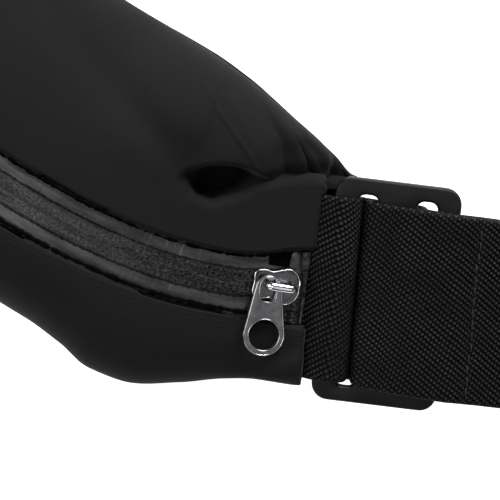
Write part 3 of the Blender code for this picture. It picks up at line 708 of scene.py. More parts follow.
def end_height(d, l, rim_l, rim_h):
    """Height over the zip plane near the right-hand seam: flat flap, deep fold, puff."""
    fold = spline(FOLD_TOP, d)
    above = l - fold
    crest_l = np.minimum(fold + CREST_REACH, rim_l - 0.002)
    crest_h = CREST_HEIGHT * smooth_step((d + 0.001) / 0.015) - 0.0010
    past = smooth_step(-d / 0.0026)
    crest_h = crest_h * (1 - past) - PAST_DROP * past
    share = np.clip((l - crest_l) / np.maximum(rim_l - crest_l, 1e-4), 0, 1)
    outer = rim_h + (crest_h - rim_h) * np.sqrt(1 - share ** 2)
    tuck = TUCK_DEPTH * fall(above, 0.0005, 0.0040) * fall(d, 0.014, 0.006)
    behind = np.where(l > crest_l, outer, crest_h) - pocket_depth(d, l) - tuck
    flap = FLAP_HEIGHT - FLAP_EDGE * smooth_step((above + 0.0014) / 0.0018) * smooth_step((0.034 - d) / 0.006)
    flap = flap - FLAP_DROP * smooth_step((-d - 0.0001) / 0.0010)
    blend = smooth_step((above + 0.0001) / 0.0008)
    wide = smooth_step((above + 0.0050) / 0.0100)
    ending = rise(d, 0.0285, 0.0045)
    edge = blend * (1 - ending) + wide * ending
    return flap * (1 - edge) + behind * edge


def upper_skin():
    """The big front panel: a soft dome that gathers into a fold and flap at the strap."""
    rows = stations(0.00035, 0.0012)
    t = np.concatenate([np.linspace(0, 0.55, 96, endpoint=False), np.linspace(0.55, 1, 70)])
    d0, t = np.meshgrid(rows, t, indexing="ij")
    fine = np.linspace(0, 1, 400)
    reach_of_t = 1.65 * (1 - fine) ** 2 * fine + 3 * (1 - fine) * fine ** 2 + fine ** 3
    share = np.interp(t, fine, reach_of_t)
    rim_zero = float(spline(INNER_EDGE, 0.0))
    edge = window_edge(np.maximum(d0, 0), 1)
    l_seam = edge + share * (rim_zero - edge)
    push = PUFF_REACH * rise(l_seam, STRAP_HALF, 0.0032)
    d = d0 - push * fall(d0, 0, 0.014)
    rim, rim_l, _ = rim_point(d, 1)
    l = edge + share * (rim_l - edge)
    squeezed = STRAP_HALF + (l_seam - STRAP_HALF) * (rim_l - STRAP_HALF) / (rim_zero - STRAP_HALF)
    l = np.where((d < 0) & (l_seam > STRAP_HALF), squeezed, l)
    share = (l - edge) / (rim_l - edge)
    t = np.interp(share, reach_of_t, fine)

    point, _, inner, normal = zip_axes(d)
    dome = slope(over_zip(d, edge, EDGE_LIFT), rim, inner, UPPER_PULL, t)
    rim_h = ((rim - point) * normal).sum(-1)
    rim_side = ((rim - point) * inner).sum(-1)
    height = end_height(d, l, rim_l, rim_h)
    side = l + (rim_side - rim_l) * smooth_step((l - 0.015) / (rim_l - 0.015))
    side = side + UNDERCUT * pocket_depth(d, l) * smooth_step((l - POCKET_MIDDLE[1] + 0.001) / 0.003)
    end = point + inner * side[..., None] + normal * height[..., None]
    near = fall(d0, 0.032, 0.026)[..., None]
    grid = dome * (1 - near) + end * near

    ease = fall(share, 0.82, 0.18)
    lift = sum(crease(d, l, line, height, width) for line, height, width in RIDGES)
    lift = lift * smooth_step((l - spline(FOLD_TOP, d) - 0.0002) / 0.0016) * smooth_step((0.046 - d) / 0.008)
    other = POUCH_LENGTH - d0
    swirl = np.arctan2(l - 0.012, other + 0.004)
    lift += (0.0010 * np.sin(swirl * 11 + 0.6) * rise(l, 0.010, 0.01)
             * fall(other, 0.004, 0.026))
    lift += 0.00045 * value_noise(d / 0.017, l / 0.022, 3) * rise(d, 0.02, 0.02)
    lift += crease(d, l, ((0.092, 0.0365), (0.0744, 0.0340), (0.0596, 0.0298), (0.0464, 0.0254),
                          (0.0340, 0.0200)), -0.0012, 0.0045, 2.0)
    hem = rise(d0, 0, HEM_WIDTH) * rise(other, 0, HEM_WIDTH)
    lift = lift * ease - HEM_DEPTH * (1 - hem) * (l_seam < STRAP_HALF)
    front_panel("upper", rows, grid + normal * lift[..., None], l, 1)


def front_panel(half, rows, grid, l, side):
    """A front panel from its grid, with its turned edge beside the zip: a small half roll."""
    angles = np.radians(np.linspace(-95, 75, 8))
    radius = 0.00045
    across = window_edge(rows, side)[:, None] + radius - radius * np.cos(angles)[None]
    curl = over_zip(rows[:, None], side * across, 0.0003 + radius * np.sin(angles)[None])
    grid = np.concatenate([curl, grid], axis=1)
    uv = np.stack([np.broadcast_to(rows[:, None], grid.shape[:2]),
                   np.concatenate([np.full(curl.shape[:2], 0.005), l], 1)], -1)
    cloth_piece("pouch_skin_" + half, grid, uv, KNIT, FABRIC, "stretch_fabric",
                "pouch_front_" + half, flip=side > 0)


def lower_skin():
    """The front panel below the zip: a plain soft slope with gathers at both ends."""
    rows = stations(0.0004, 0.0012)
    d, t = np.meshgrid(rows, np.linspace(0, 1, 70), indexing="ij")
    rim, rim_l, _ = rim_point(d, -1)
    _, _, inner, normal = zip_axes(d)
    edge = window_edge(d, -1)
    grid = slope(over_zip(d, -edge, EDGE_LIFT), rim, -inner, LOWER_PULL, t)
    near = end_distance(d)
    l = edge + t * (rim_l - edge)
    ripple = np.sin(l / 0.0011 + 1.5 * value_noise(d / 0.02, l / 0.01, 5))
    lift = 0.00007 * ripple * rise(near, 0.03, 0.02) * fall(l, 0.011, 0.004)
    swirl = np.arctan2(l - 0.006, near + 0.006)
    lift += (0.0005 * np.sin(swirl * 9 + 1.0) * fall(near, 0.004, 0.024)
             * rise(l, 0.009, 0.004))
    lift += 0.0003 * value_noise(d / 0.016, l / 0.02, 8)
    lift *= fall(t, 0.85, 0.15)
    lift -= HEM_DEPTH * fall(near, 0, HEM_WIDTH)
    lift -= 0.0006 * bump(near, 0.0105, 0.0105) * bump(l, 0.0115, 0.0090)   # room for the puller
    front_panel("lower", rows, grid + normal * lift[..., None], l, -1)


def back_skin():
    """The worn side: from the outer rim down, across the flat bed and up to the inner rim."""
    rows = stations(0.0008, 0.002)
    t = np.linspace(0, 1, 16)
    push = PUFF_REACH * fall(rows, 0, 0.014)
    inner_rows = rows - push
    rim_out, _, inward = rim_point(rows, -1)
    rim_in, _, inward_in = rim_point(inner_rows, 1)
    near = end_distance(rows)
    slope = math.tan(math.radians(STRAP_TILT)) * fall(near, 0, 0.042)
    bed_height = spline(BED_Z, near)
    middle, _, _, _ = zip_axes(rows)

    def bed(points):
        offset = ((points - middle) * inward)[..., :2].sum(-1)
        points = points.copy()
        points[..., 2] = bed_height + offset * slope
        return points

    outer_bed = bed(rim_out + inward * 0.010)
    inner_bed = bed(rim_in - inward_in * np.minimum(0.014, 0.004 + near)[:, None])
    down = np.array([0, 0, 0.55])
    drop_out = np.maximum(rim_out[:, 2] - outer_bed[:, 2], 0)[:, None] * down
    drop_in = np.maximum(rim_in[:, 2] - inner_bed[:, 2], 0)[:, None] * down
    left = bezier(rim_out[:, None], (rim_out - drop_out)[:, None],
                  bed(rim_out + inward * 0.004)[:, None], outer_bed[:, None], t[None])
    right = bezier(inner_bed[:, None], bed(rim_in - inward_in * 0.0055)[:, None],
                   (rim_in - drop_in)[:, None], rim_in[:, None], t[None])
    across = np.linspace(0, 1, 30)[None, 1:-1, None]
    flat = outer_bed[:, None] * (1 - across) + inner_bed[:, None] * across
    grid = np.concatenate([left, flat, right], axis=1)
    uv = np.stack(np.meshgrid(rows, np.linspace(0, 0.08, grid.shape[1]), indexing="ij"), -1)
    cloth_piece("pouch_skin_back", grid, uv, BACKING, FABRIC, "back_fabric", "pouch_back_panel")


# ---- zip -----------------------------------------------------------------------------
BAND_HALF = 0.0027             # half width of the embossed band over the coils


def lumps(d, l, size, seed):
    return value_noise(d / size[0] + 0.4 * value_noise(d / 0.003, l / 0.003, seed + 1),
                       l / size[1] + 0.3 * value_noise(l / 0.002, d / 0.003, seed + 2), seed)


def tape_skin(half, side):
    """Film-coated tape half: an embossed band over the coil, then smooth film that crinkles."""
    rows = np.concatenate([np.arange(0.0004, 0.0720, 0.0002),
                           np.arange(0.0720, POUCH_LENGTH - 0.0006, 0.0005)])
    across = np.concatenate([[0.00008, 0.00010, 0.00020], np.arange(0.0004, 0.0024, 0.00020),
                             np.arange(0.0024, 0.00305, 0.00010), np.arange(0.0032, 0.0094, 0.00024)])
    d, l = np.meshgrid(rows, across, indexing="ij")
    near = end_distance(d)
    rough = 0.18 + 0.82 * smooth_step((0.050 - near) / 0.022)
    in_band = 1 - smooth_step((l - BAND_HALF + 0.0004) / 0.0008)
    ribs = np.cos(2 * np.pi * d / 0.00052) * bump(l, 0.0018, 0.0009)
    emboss = (0.00007 * rough * lumps(d, l, (0.00080, 0.00045), 4)
              + 0.00005 * rough * lumps(d, l, (0.00045, 0.00030), 14)
              + 0.00004 * (1.2 - rough) * ribs)
    row_dents = -0.00008 * bump(l, 0.0011, 0.0003) * (np.cos(2 * np.pi * d / 0.0013) > 0.2)
    crinkle = lumps(d, l, (0.00055, 0.0060), 24)
    waves = value_noise(d / 0.016, 0.5 + l / 0.02, 9)
    near_slider = smooth_step((0.044 - near) / 0.020)
    inside = rise(l, BAND_HALF, 0.0015) * fall(l, 0.0042, 0.0014)
    film = (0.000045 * crinkle * (0.05 + 0.95 * near_slider) + 0.00022 * waves * inside
            + 0.000022 * lumps(d, l, (0.0007, 0.0009), 41) * near_slider)
    crown = 0.00010 * fall(l, 0.0004, 0.0034)
    roll = -0.00004 * np.clip(1 - (l - 0.00008) / 0.00016, 0, 1) ** 2
    dip = -0.00014 * rise(l, 0.0044, 0.0024)
    height = TAPE_TOP + in_band * (emboss + row_dents) + (1 - in_band) * film + crown + roll
    grid = over_zip(d, side * l + drift(d), height + dip)
    uv = np.stack([d, l + (0.02 if side > 0 else 0)], -1)
    cloth_piece("tape_" + half, grid, uv, LAMINATE, TAPE_THICK, "zip_tape", "zip_tape_" + half,
                flip=side > 0)


def surface_patch(name, d_range, l_range, height, material, step=0.0002):
    """Small piece lying on the zip; height(d, l) is measured from the zip plane."""
    rows = np.arange(d_range[0], d_range[1] + step / 2, step)
    across = np.arange(l_range[0], l_range[1] + step / 2, step)
    d, l = np.meshgrid(rows, across, indexing="ij")
    cloth_piece(name, over_zip(d, l, height(d, l)), np.stack([d, l], -1), material, PATCH_THICK,
                "zip_tape", flip=True)


def tape_end():
    """The folded tape end beside the seam, and a near-black patch over the zip's last teeth: painted shade
    where the hem shades the tape's end.
    """
    def fold(d, l):
        middle = 0.0022 + 0.0013 * smooth_step((l + 0.002) / 0.010)
        hump = np.sqrt(np.clip(1 - ((d - middle) / 0.0010) ** 2, 0, 1))
        crumple = 0.00012 * value_noise(d / 0.0008, l / 0.0016, 17)
        return -0.0004 + 0.0008 * hump + crumple * hump

    def patch(d, l):
        up = rise(d, 0.0042, 0.0008) * smooth_step((0.0098 - d) / 0.0014)
        return -0.0006 + 0.0005 * up + 0.0004 * rise(l, 0.0060, 0.0012) * up

    surface_patch("zip_end_fold", (0.0009, 0.0047), (-0.0084, 0.0084), fold, LAMINATE)
    # painted shade: near-black patch where the hem shades the tape's end
    surface_patch("zip_end_shade_patch", (0.0042, 0.0098), (0.0038, 0.0080), patch, SHADOW_EDGE)


def frayed_edge_and_shade(half, side):
    """Rough dark cut edge of the panel, where it is stitched down beside the zip; the near-black tube is
    partly this real edge and partly painted shade of the gap between panel and tape.
    """
    rows = np.arange(0.0008, POUCH_LENGTH - 0.0006, 0.00030)
    wobble = value_noise(rows / 0.0007, 0 * rows + side, 6)
    across = (side * (window_edge(rows, side) - 0.00058)
              + 0.00010 * value_noise(rows / 0.0012, rows * 0, 8))
    line = over_zip(rows, across, 0.00080 + 0.00006 * wobble)
    # near-black tube: the frayed edge, and painted shade of the gap beside the tape
    piece = tube_piece("window_edge_" + half, line, 0.00042 + 0.00015 * wobble, SHADOW_EDGE, sides=6)
    attach(piece, "belt", "stretch_fabric")


# ---- webbing -------------------------------------------------------------------------
EDGE_CORD = 0.9                    # width of the selvedge, in millimetres
STITCH_ROW = GLIDE_START + GLIDE_LENGTH + 0.0050
JOIN = 0.004                       # how far a stretch or a fade stays off the ends of its run
VIEW_END = 0.058                   # the strap leaves the picture before this distance


def knots(u, v):
    """Height 0 to 1 of the weave at (u, v) mm: slanting rows of round knots."""
    along = u * math.cos(ROW_ANGLE) - v * math.sin(ROW_ANGLE)
    across = u * math.sin(ROW_ANGLE) + v * math.cos(ROW_ANGLE)
    across = across / ROW_PITCH + 0.10 * value_noise(u / 5.0, v / 5.0, 12)
    row = np.floor(across)
    along = along / KNOT_PITCH + 0.5 * row + 0.12 * value_noise(u / 2.0, v / 2.0, 7)
    cell = np.floor(along)
    size = 0.88 + 0.22 * value_noise(cell + 0.01, row + 0.01, 31)
    fa, fb = (along - cell - 0.5) * 1.90, (across - row - 0.5) * 2.20
    return np.sqrt(np.clip(1 - fa ** 2 - fb ** 2, 0, 1)) * size


# (distance along the strap, how far the webbing lies sideways of the CAD strap)
STRAP_SKEW = ((0.0, 0.0007), (0.006, 0.0006), (0.012, 0.0), (0.020, -0.0004), (0.030, -0.0011),
              (0.045, -0.0022), (0.060, -0.0029), (0.075, -0.0022), (0.090, -0.0009), (0.108, 0.0),
              (0.9, 0.0))


def chaikin(line):
    """Rounds the corners of a line by cutting them twice."""
    for _ in range(2):
        low = line[:-1] * 0.75 + line[1:] * 0.25
        high = line[:-1] * 0.25 + line[1:] * 0.75
        middle = np.stack([low, high], 1).reshape(-1, 2)
        line = np.concatenate([line[:1], middle[1:-1], line[-1:]])
    steps = np.hypot(*np.diff(line, axis=0).T)
    return line[np.concatenate([[True], steps > 1e-7])]


def strap_layer(name, points, body, row=0.0010, top=40, under=40, face=1.0, relief=0.0,
                start_u=0.0, replaced=None, fade=None):
    """Flat strap along (distance, height) points; relief gives its woven knots real height,
    dying away between the two distances in fade."""
    line = chaikin(np.array(points, float))
    travel = np.concatenate([[0], np.cumsum(np.hypot(*np.diff(line, axis=0).T))])
    u = np.linspace(0, travel[-1], max(4, int(round(travel[-1] / row)) + 1))
    s, n = np.interp(u, travel, line[:, 0]), np.interp(u, travel, line[:, 1])
    ds, dn = np.gradient(s), np.gradient(n)
    size = np.hypot(ds, dn)
    ds, dn = ds / size, dn / size

    half, thick = WEB_WIDTH / 2, WEB_THICK / 2
    edge = np.linspace(0, np.pi, 7)[1:-1]
    over = np.linspace(-half + thick, half - thick, top)
    back = np.linspace(half - thick, -half + thick, under)
    ring_y = np.concatenate([over, half - thick + thick * np.sin(edge), back,
                             -half + thick - thick * np.sin(edge)])
    ring_z = np.concatenate([np.full(top, thick), thick * np.cos(edge), np.full(under, -thick),
                             -thick * np.cos(edge)])
    out = np.concatenate([np.ones(top), np.cos(edge), -np.ones(under), -np.cos(edge)])
    side = face * np.where(out >= 0, 1.0, -1.0)
    uu = (u + start_u)[:, None] + 0 * ring_y[None]
    vv = side[None] * ring_y[None] + 0 * uu
    selvedge = np.clip((half - np.abs(ring_y)) / MM / EDGE_CORD, 0, 1)[None]
    cord = np.abs(np.cos(np.pi * uu / MM / 0.62)) * 0.75
    height = np.where(selvedge > 0.99, knots(uu / MM, vv / MM), cord)
    seam = bump(s, STITCH_ROW, 0.0013)[:, None]
    left = 1 - smooth_step((s - fade[0]) / (fade[1] - fade[0]))[:, None] if fade else 1.0
    ring_h = ring_z[None] + left * (relief * (height * (1 - 0.75 * seam) - 0.45)
                                    - 0.0002 * seam) * out[None]
    grid = np.zeros((len(u), len(ring_y), 3))
    for i in range(len(u)):
        place = np.array(PATH.frame(float(s[i])))
        x, y, z, origin = place[:3, 0], place[:3, 1], place[:3, 2], place[:3, 3]
        if s[i] < 0:
            origin = origin + x * s[i]
        lift = -dn[i] * x + ds[i] * z
        across = ring_y + float(spline(STRAP_SKEW, max(s[i], 0.0)))
        grid[i] = origin + z * n[i] + across[:, None] * y + ring_h[i][:, None] * lift
    rows, count = grid.shape[:2]
    faces = [tuple(f) for f in grid_faces(rows, count, True)]
    points = np.concatenate([grid.reshape(-1, 3), grid[0], grid[-1]])
    first, last = rows * count, (rows + 1) * count
    faces += [tuple(range(first, last))[::-1], tuple(range(last, last + count))]
    uv = np.stack([uu, vv], -1) / MM
    uv = np.concatenate([uv.reshape(-1, 2), uv[0], uv[-1]])
    piece = mesh_piece(name, points, faces, WEBBING, uv)
    if isinstance(body, str):
        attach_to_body(piece, body)
    else:
        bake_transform(piece)
    if replaced:
        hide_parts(replaced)
    return start_u + travel[-1]


def strap_point(s, n=0.0):
    place = PATH.frame(max(s, 0.0))
    return place @ Vector((min(s, 0.0), 0, n))


def straight(start, end, height):
    count = max(1, round(abs(end - start) / 0.006))
    return [(start + (end - start) * i / count, height) for i in range(count + 1)]


def tail_stitches(points):
    """The row of short stitches that holds the webbing's tail under the outer layer."""
    line = chaikin(np.array(points, float))
    threads = []
    for i, y in enumerate(np.arange(-0.0172, 0.0170, 0.0023)):
        s = STITCH_ROW + 0.00025 * float(value_noise(y / 0.004, 0.0, 55))
        place = PATH.frame(s)
        height = float(np.interp(s, line[:, 0], line[:, 1]))
        side = float(spline(STRAP_SKEW, s))
        arch = [place @ Vector((0, y + side + t * 0.0016,
                                height + 0.00036 + 0.00030 * math.sin(math.pi * t)))
                for t in np.linspace(0, 1, 7)]
        threads.append(tube_piece("stitch_%d" % i, [tuple(p) for p in arch], 0.00016, YARN, sides=6))
    joined = bmesh.new()
    for thread in threads:
        joined.from_mesh(thread.data)
    joined.to_mesh(threads[0].data)
    joined.free()
    for thread in threads[1:]:
        bpy.data.objects.remove(thread)
    row = threads[0]
    row.name = row.data.name = "tail_stitches"
    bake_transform(row)


def straps():
    """The webbing from the seam round the back. over and under are distances from the middle of
    the tri-glide, and so_far carries the rows of knots on from one piece to the next."""
    g = GLIDE_START
    b1, s1, mid, s2, _ = GLIDE_BARS
    over = GLIDE_THICK / 2 + GAP + WEB_THICK / 2
    layer = WEB_THICK + GAP
    mid_start, mid_end = g + b1 + s1, g + b1 + s1 + mid
    glide_end = g + GLIDE_LENGTH
    run_down = g + b1 + 0.0013
    wrap = mid_start - GAP - WEB_THICK / 2
    tail = mid_end + GAP + WEB_THICK / 2
    run_up = tail + WEB_THICK + 0.00045
    under = over + layer
    fine = dict(row=0.00017, top=215, under=16, relief=KNOT_HEIGHT)
    bend = dict(row=0.00021, top=190, under=16, relief=KNOT_HEIGHT)
    stretch = (strap_point(0.0), strap_point(g + 0.002))
    so_far = strap_layer("strap_at_seam", [(-0.004, -0.0012), (-0.001, -0.0004), (0.0008, 0.0008),
                                           (g - 0.0004, 0.0023), (g + 0.0012, over + 0.0007),
                                           (g + 0.002, over + 0.0010)],
                         ("belt", "tri_glide", *stretch), face=-1.0, replaced="webbing_threaded",
                         **fine)
    threaded = [(g + 0.002, over + 0.0010), (g + b1 - 0.0022, over + 0.0011),
                (g + b1 - 0.0010, over + 0.0006), (g + b1 + 0.0002, over - 0.0004),
                (run_down - 0.0003, 0.0006), (run_down, -0.0008), (run_down, -0.0024),
                (run_down + 0.0004, -under + 0.0004),
                (run_down + 0.0014, -under), (run_up - 0.0014, -under),
                (run_up - 0.0004, -under + 0.0004), (run_up, -0.0024), (run_up, 0.0008),
                (run_up + 0.0005, over - 0.0006), (run_up + 0.0013, over), (glide_end, over)]
    so_far = strap_layer("strap_through_glide", threaded, "tri_glide", face=-1.0, start_u=so_far,
                         **fine)
    feed = ("tri_glide", "belt", strap_point(glide_end), strap_point(RIGHT_SPLIT - JOIN))
    run = [(glide_end, over), (glide_end + 0.005, 0.0002), (glide_end + 0.009, -LAYER_OFFSET)]
    run += straight(glide_end + 0.014, RIGHT_SPLIT, -LAYER_OFFSET)
    inner_far = strap_layer("strap_inner_right", run, feed, face=-1.0, start_u=so_far,
                            replaced="webbing_run_right")

    tail_end = glide_end + 0.0105
    outer = over + 2 * layer
    returned = [(tail_end, LAYER_OFFSET), (tail_end - 0.003, 0.0011), (glide_end + 0.0030, 0.0030),
                (glide_end + 0.0004, over + layer), (mid_end + s2 + 0.0006, over + layer),
                (tail + 0.0009, over + layer - 0.0006), (tail, 0.0016), (tail, -0.0012),
                (tail - 0.0004, -over + 0.0004), (tail - 0.0014, -over),
                (wrap + 0.0014, -over), (wrap + 0.0004, -over + 0.0004), (wrap, -0.0012),
                (wrap, 0.0002), (wrap + 0.0003, 0.0012), (wrap + 0.0009, 0.0020),
                (wrap + 0.0019, 0.0026), (wrap + 0.0033, 0.0031), (wrap + 0.0052, 0.0035),
                (mid_end - 0.0012, over + 0.0024),
                (mid_end + 0.0020, outer - 0.0001), (glide_end - 0.0010, outer), (glide_end, outer)]
    so_far = strap_layer("strap_round_bar", returned, "tri_glide", face=1.0,
                         replaced="webbing_return_right", **fine)
    outside = [(glide_end, outer), (glide_end + 0.0010, outer), (glide_end + 0.0034, outer - 0.0009),
               (tail_end - 0.0022, 0.0030), (tail_end + 0.0010, LAYER_OFFSET + layer),
               (tail_end + 0.0060, LAYER_OFFSET + 0.0004)]
    near_part = outside + straight(tail_end + 0.011, VIEW_END, LAYER_OFFSET)
    so_far = strap_layer("strap_outer_right", near_part, feed, face=1.0, start_u=so_far, **fine)
    tail_stitches(near_part)
    so_far = strap_layer("strap_outer_bend", straight(VIEW_END, RIGHT_SPLIT, LAYER_OFFSET), feed,
                         face=1.0, start_u=so_far, fade=(VIEW_END + JOIN, RIGHT_SPLIT - JOIN),
                         **bend)

    back_end = PATH.length - LEFT_SPLIT
    for part, height, face, before in (("run", -LAYER_OFFSET, -1.0, inner_far),
                                       ("return", LAYER_OFFSET, 1.0, so_far)):
        strap_layer("strap_%s_back" % part, straight(RIGHT_SPLIT, back_end, height), "belt",
                    face=face, replaced="webbing_%s_back" % part, start_u=before)

    buckle_straps(back_end)


def buckle_straps(back_end):
    """The loop round the plug's bar, and the tab that holds the socket."""
    mouth = PATH.length - MOUTH_FROM_SEAM
    bar = BAR_THICK / 2 + GAP + WEB_THICK / 2
    bar_start = mouth - GAP - PLUG_LENGTH
    turn_at = bar_start + BAR_LENGTH + GAP + WEB_THICK / 2
    out = straight(back_end, bar_start - 0.006, -LAYER_OFFSET)
    out += [(bar_start - 0.0010, -bar), (turn_at - 0.0014, -bar), (turn_at - 0.0004, -bar + 0.0004),
            (turn_at, -0.0012)]
    loop = out + [(s, -n) for s, n in reversed(out)]
    give = ("belt", "buckle_plug", strap_point(back_end + JOIN), strap_point(bar_start - JOIN))
    strap_layer("strap_buckle_loop", loop, give, face=1.0, replaced="webbing_buckle_loop")

    tab_start = mouth + SOCKET_LENGTH
    turn_at = tab_start - BAR_LENGTH - GAP - WEB_THICK / 2
    out = [(PATH.length, -LAYER_OFFSET), (tab_start + 0.006, -LAYER_OFFSET),
           (tab_start + 0.0010, -bar), (turn_at + 0.0014, -bar), (turn_at + 0.0004, -bar + 0.0004),
           (turn_at, -0.0012)]
    strap_layer("strap_left_tab", out + [(s, -n) for s, n in reversed(out)], "belt", face=1.0,
                replaced="webbing_tab_left")


# ---- hard parts ----------------------------------------------------------------------
THROUGH = (-0.01, 0.01)        # heights of a cutter that goes right through a plate


def bevelled_copy(node, name, material, width, slot):
    """The CAD piece with its flat faces joined up again and every hard edge rounded."""
    mesh = NODES[node].data.copy()
    work = bmesh.new()
    work.from_mesh(mesh)
    bmesh.ops.remove_doubles(work, verts=work.verts, dist=1e-6)
    bmesh.ops.dissolve_limit(work, angle_limit=math.radians(1.0), verts=work.verts, edges=work.edges)
    work.to_mesh(mesh)
    work.free()
    mesh.materials.clear()
    mesh.materials.append(material)
    obj = link(bpy.data.objects.new(name, mesh))
    round_edges(obj, width)
    attach(obj, frame_body(node), slot, node)


def round_edges(obj, width, segments=3):
    bevel = obj.modifiers.new("rounded_edges", "BEVEL")
    bevel.width = width
    bevel.segments = segments
    bevel.limit_method = "ANGLE"
    bevel.angle_limit = math.radians(28)
    apply_modifiers(obj)
    smooth_faces(obj, 40)


def smooth_faces(obj, sharp_angle):
    """Smooth shading, kept sharp where faces meet at more than an angle in degrees."""
    obj.data.shade_smooth()
    obj.data.set_sharp_from_angle(angle=math.radians(sharp_angle))


def frame_body(node):
    for name, body in frame["record"]["behaviour"]["bodies"].items():
        if node in body:
            return name
    raise ValueError(node)


def extruded(name, outline, low, high, material):
    """Closed plate from an anticlockwise outline, between two heights."""
    count = len(outline)
    points = [(x, y, low) for x, y in outline] + [(x, y, high) for x, y in outline]
    faces = [tuple(range(count))[::-1], tuple(range(count, 2 * count))]
    faces += [(i, (i + 1) % count, count + (i + 1) % count, count + i) for i in range(count)]
    return mesh_piece(name, points, faces, material, smooth=False)


def rounded_box_outline(length, width, radius, steps=6):
    points = []
    for i, (sx, sy) in enumerate(((1, 1), (-1, 1), (-1, -1), (1, -1))):
        for k in range(steps + 1):
            angle = math.pi / 2 * (i + k / steps)
            points.append((sx * (length / 2 - radius) + radius * math.cos(angle),
                           sy * (width / 2 - radius) + radius * math.sin(angle)))
    return points


def carve(obj, *tools):
    """Boolean cuts, applied; the cutters are removed."""
    for tool in tools:
        cut = obj.modifiers.new("cut", "BOOLEAN")
        cut.object = tool
        cut.operation = "DIFFERENCE"
        cut.solver = "EXACT"
        apply_modifiers(obj)
        bpy.data.objects.remove(tool)


def place_piece(obj, place, body, slot, *replaced):
    obj.data.transform(place)
    obj.data.update()
    attach(obj, body, slot, *replaced)


GLIDE_SKEW = -2.2              # degrees, as it lies in the picture
GLIDE_SHIFT = (0.0003, 0.00025)    # along and across the strap
GLIDE_CORNER = 0.0034
GLIDE_EDGE = 0.00062
SLOT_CORNER = 0.0017


def make_glide():
    """Three-bar slider: rounded outline, round-ended slots and softly radiused edges."""
    half = GLIDE_THICK / 2
    obj = extruded("glide_frame", rounded_box_outline(GLIDE_LENGTH, GLIDE_WIDTH, GLIDE_CORNER, 8),
                   -half, half, MOULDED)
    at = -GLIDE_LENGTH / 2
    for i, span in enumerate(GLIDE_BARS):
        if i % 2:
            slot = extruded("slot", rounded_box_outline(span, GLIDE_SLOT_WIDTH, SLOT_CORNER),
                            *THROUGH, MOULDED)
            slot.data.transform(move(at + span / 2, 0, 0))
            carve(obj, slot)
        at += span
    round_edges(obj, GLIDE_EDGE, 4)
    along, across = GLIDE_SHIFT
    skew = move(0, across, 0) @ turn(GLIDE_SKEW, "Z")
    place_piece(obj, PATH.frame(GLIDE_START + GLIDE_LENGTH / 2 + along) @ skew, "tri_glide",
                "moulded_plastic", "tri_glide")


SLIDER_LENGTH = 0.0096
SLIDER_WIDTH = 0.0074
PLATE_TOP = 0.0014
DISH_DEPTH = 0.00022
UNDERPLATE = (-0.0034, -0.0025)    # its lower and upper face
NECK_SIZE = (0.0038, 0.0016, 0.0005)   # length, width and corner radius
NECK_FORWARD = 0.0012
BRIDGE = (-0.0027, 0.0039, 0.0046, 0.0017, 0.0013)   # back, front, top, width, bar
BRIDGE_CORNER = 0.0009
TAG_THICK = 0.0012
TAG_PLACE = (0.0003, 0, 0.0023)
TAG_TURN = 4.0                 # degrees off the line straight across the zip
TAG_X = -0.0022                # middle line of the tag
RING_Y = -0.0005
HOLE_Y = -0.0100
HOLE_RADIUS = 0.0031


def slider_outline(grow=1.0, steps=8):
    """Smooth shield: a broad round mouth in front and a narrow waved tail behind."""
    half, wide = SLIDER_LENGTH / 2 * grow, SLIDER_WIDTH / 2 * grow
    side = [(-half, 0.0), (-half, 0.62 * wide), (-0.6 * half, 0.80 * wide), (-0.25 * half, 0.74 * wide),
            (0.15 * half, 0.90 * wide), (0.5 * half, wide), (0.82 * half, 0.78 * wide),
            (half, 0.34 * wide), (half, 0.0)]
    line = np.array(side + [(x, -y) for x, y in side[-2:0:-1]])
    points = []
    count = len(line)
    for i in range(count):
        p0, p1, p2, p3 = (line[(i + k) % count] for k in (-1, 0, 1, 2))
        for k in range(steps):
            t = k / steps
            points.append(0.5 * (2 * p1 + (p2 - p0) * t + (2 * p0 - 5 * p1 + 4 * p2 - p3) * t * t
                                 + (3 * p1 - p0 - 3 * p2 + p3) * t ** 3))
    return [tuple(p) for p in points][::-1]


def tag_outline(inset=0.0, steps=20):
    """Puller tag: a narrow ring end and a broad round end joined by straight sides."""
    points = []
    for centre_y, radius, start, sweep in ((RING_Y, 0.0027, 10, 160), (HOLE_Y, 0.0043, 180, 180)):
        for i in range(steps + 1):
            angle = math.radians(start + sweep * i / steps)
            points.append((TAG_X + (radius - inset) * math.cos(angle),
                           centre_y + (radius - inset) * math.sin(angle)))
    return points


def hole_outline(radius, steps=40):
    angles = [2 * math.pi * i / steps for i in range(steps)]
    return [(TAG_X + radius * math.cos(a), HOLE_Y + radius * math.sin(a)) for a in angles]


def rim_piece(name, outline, height, radius, place, body, material):
    """Bright bead along an outline."""
    line = np.array([(x, y, height) for x, y in outline])
    obj = tube_piece(name, line, radius, material, sides=10, closed=True)
    place_piece(obj, place, body, "gunmetal_polished")


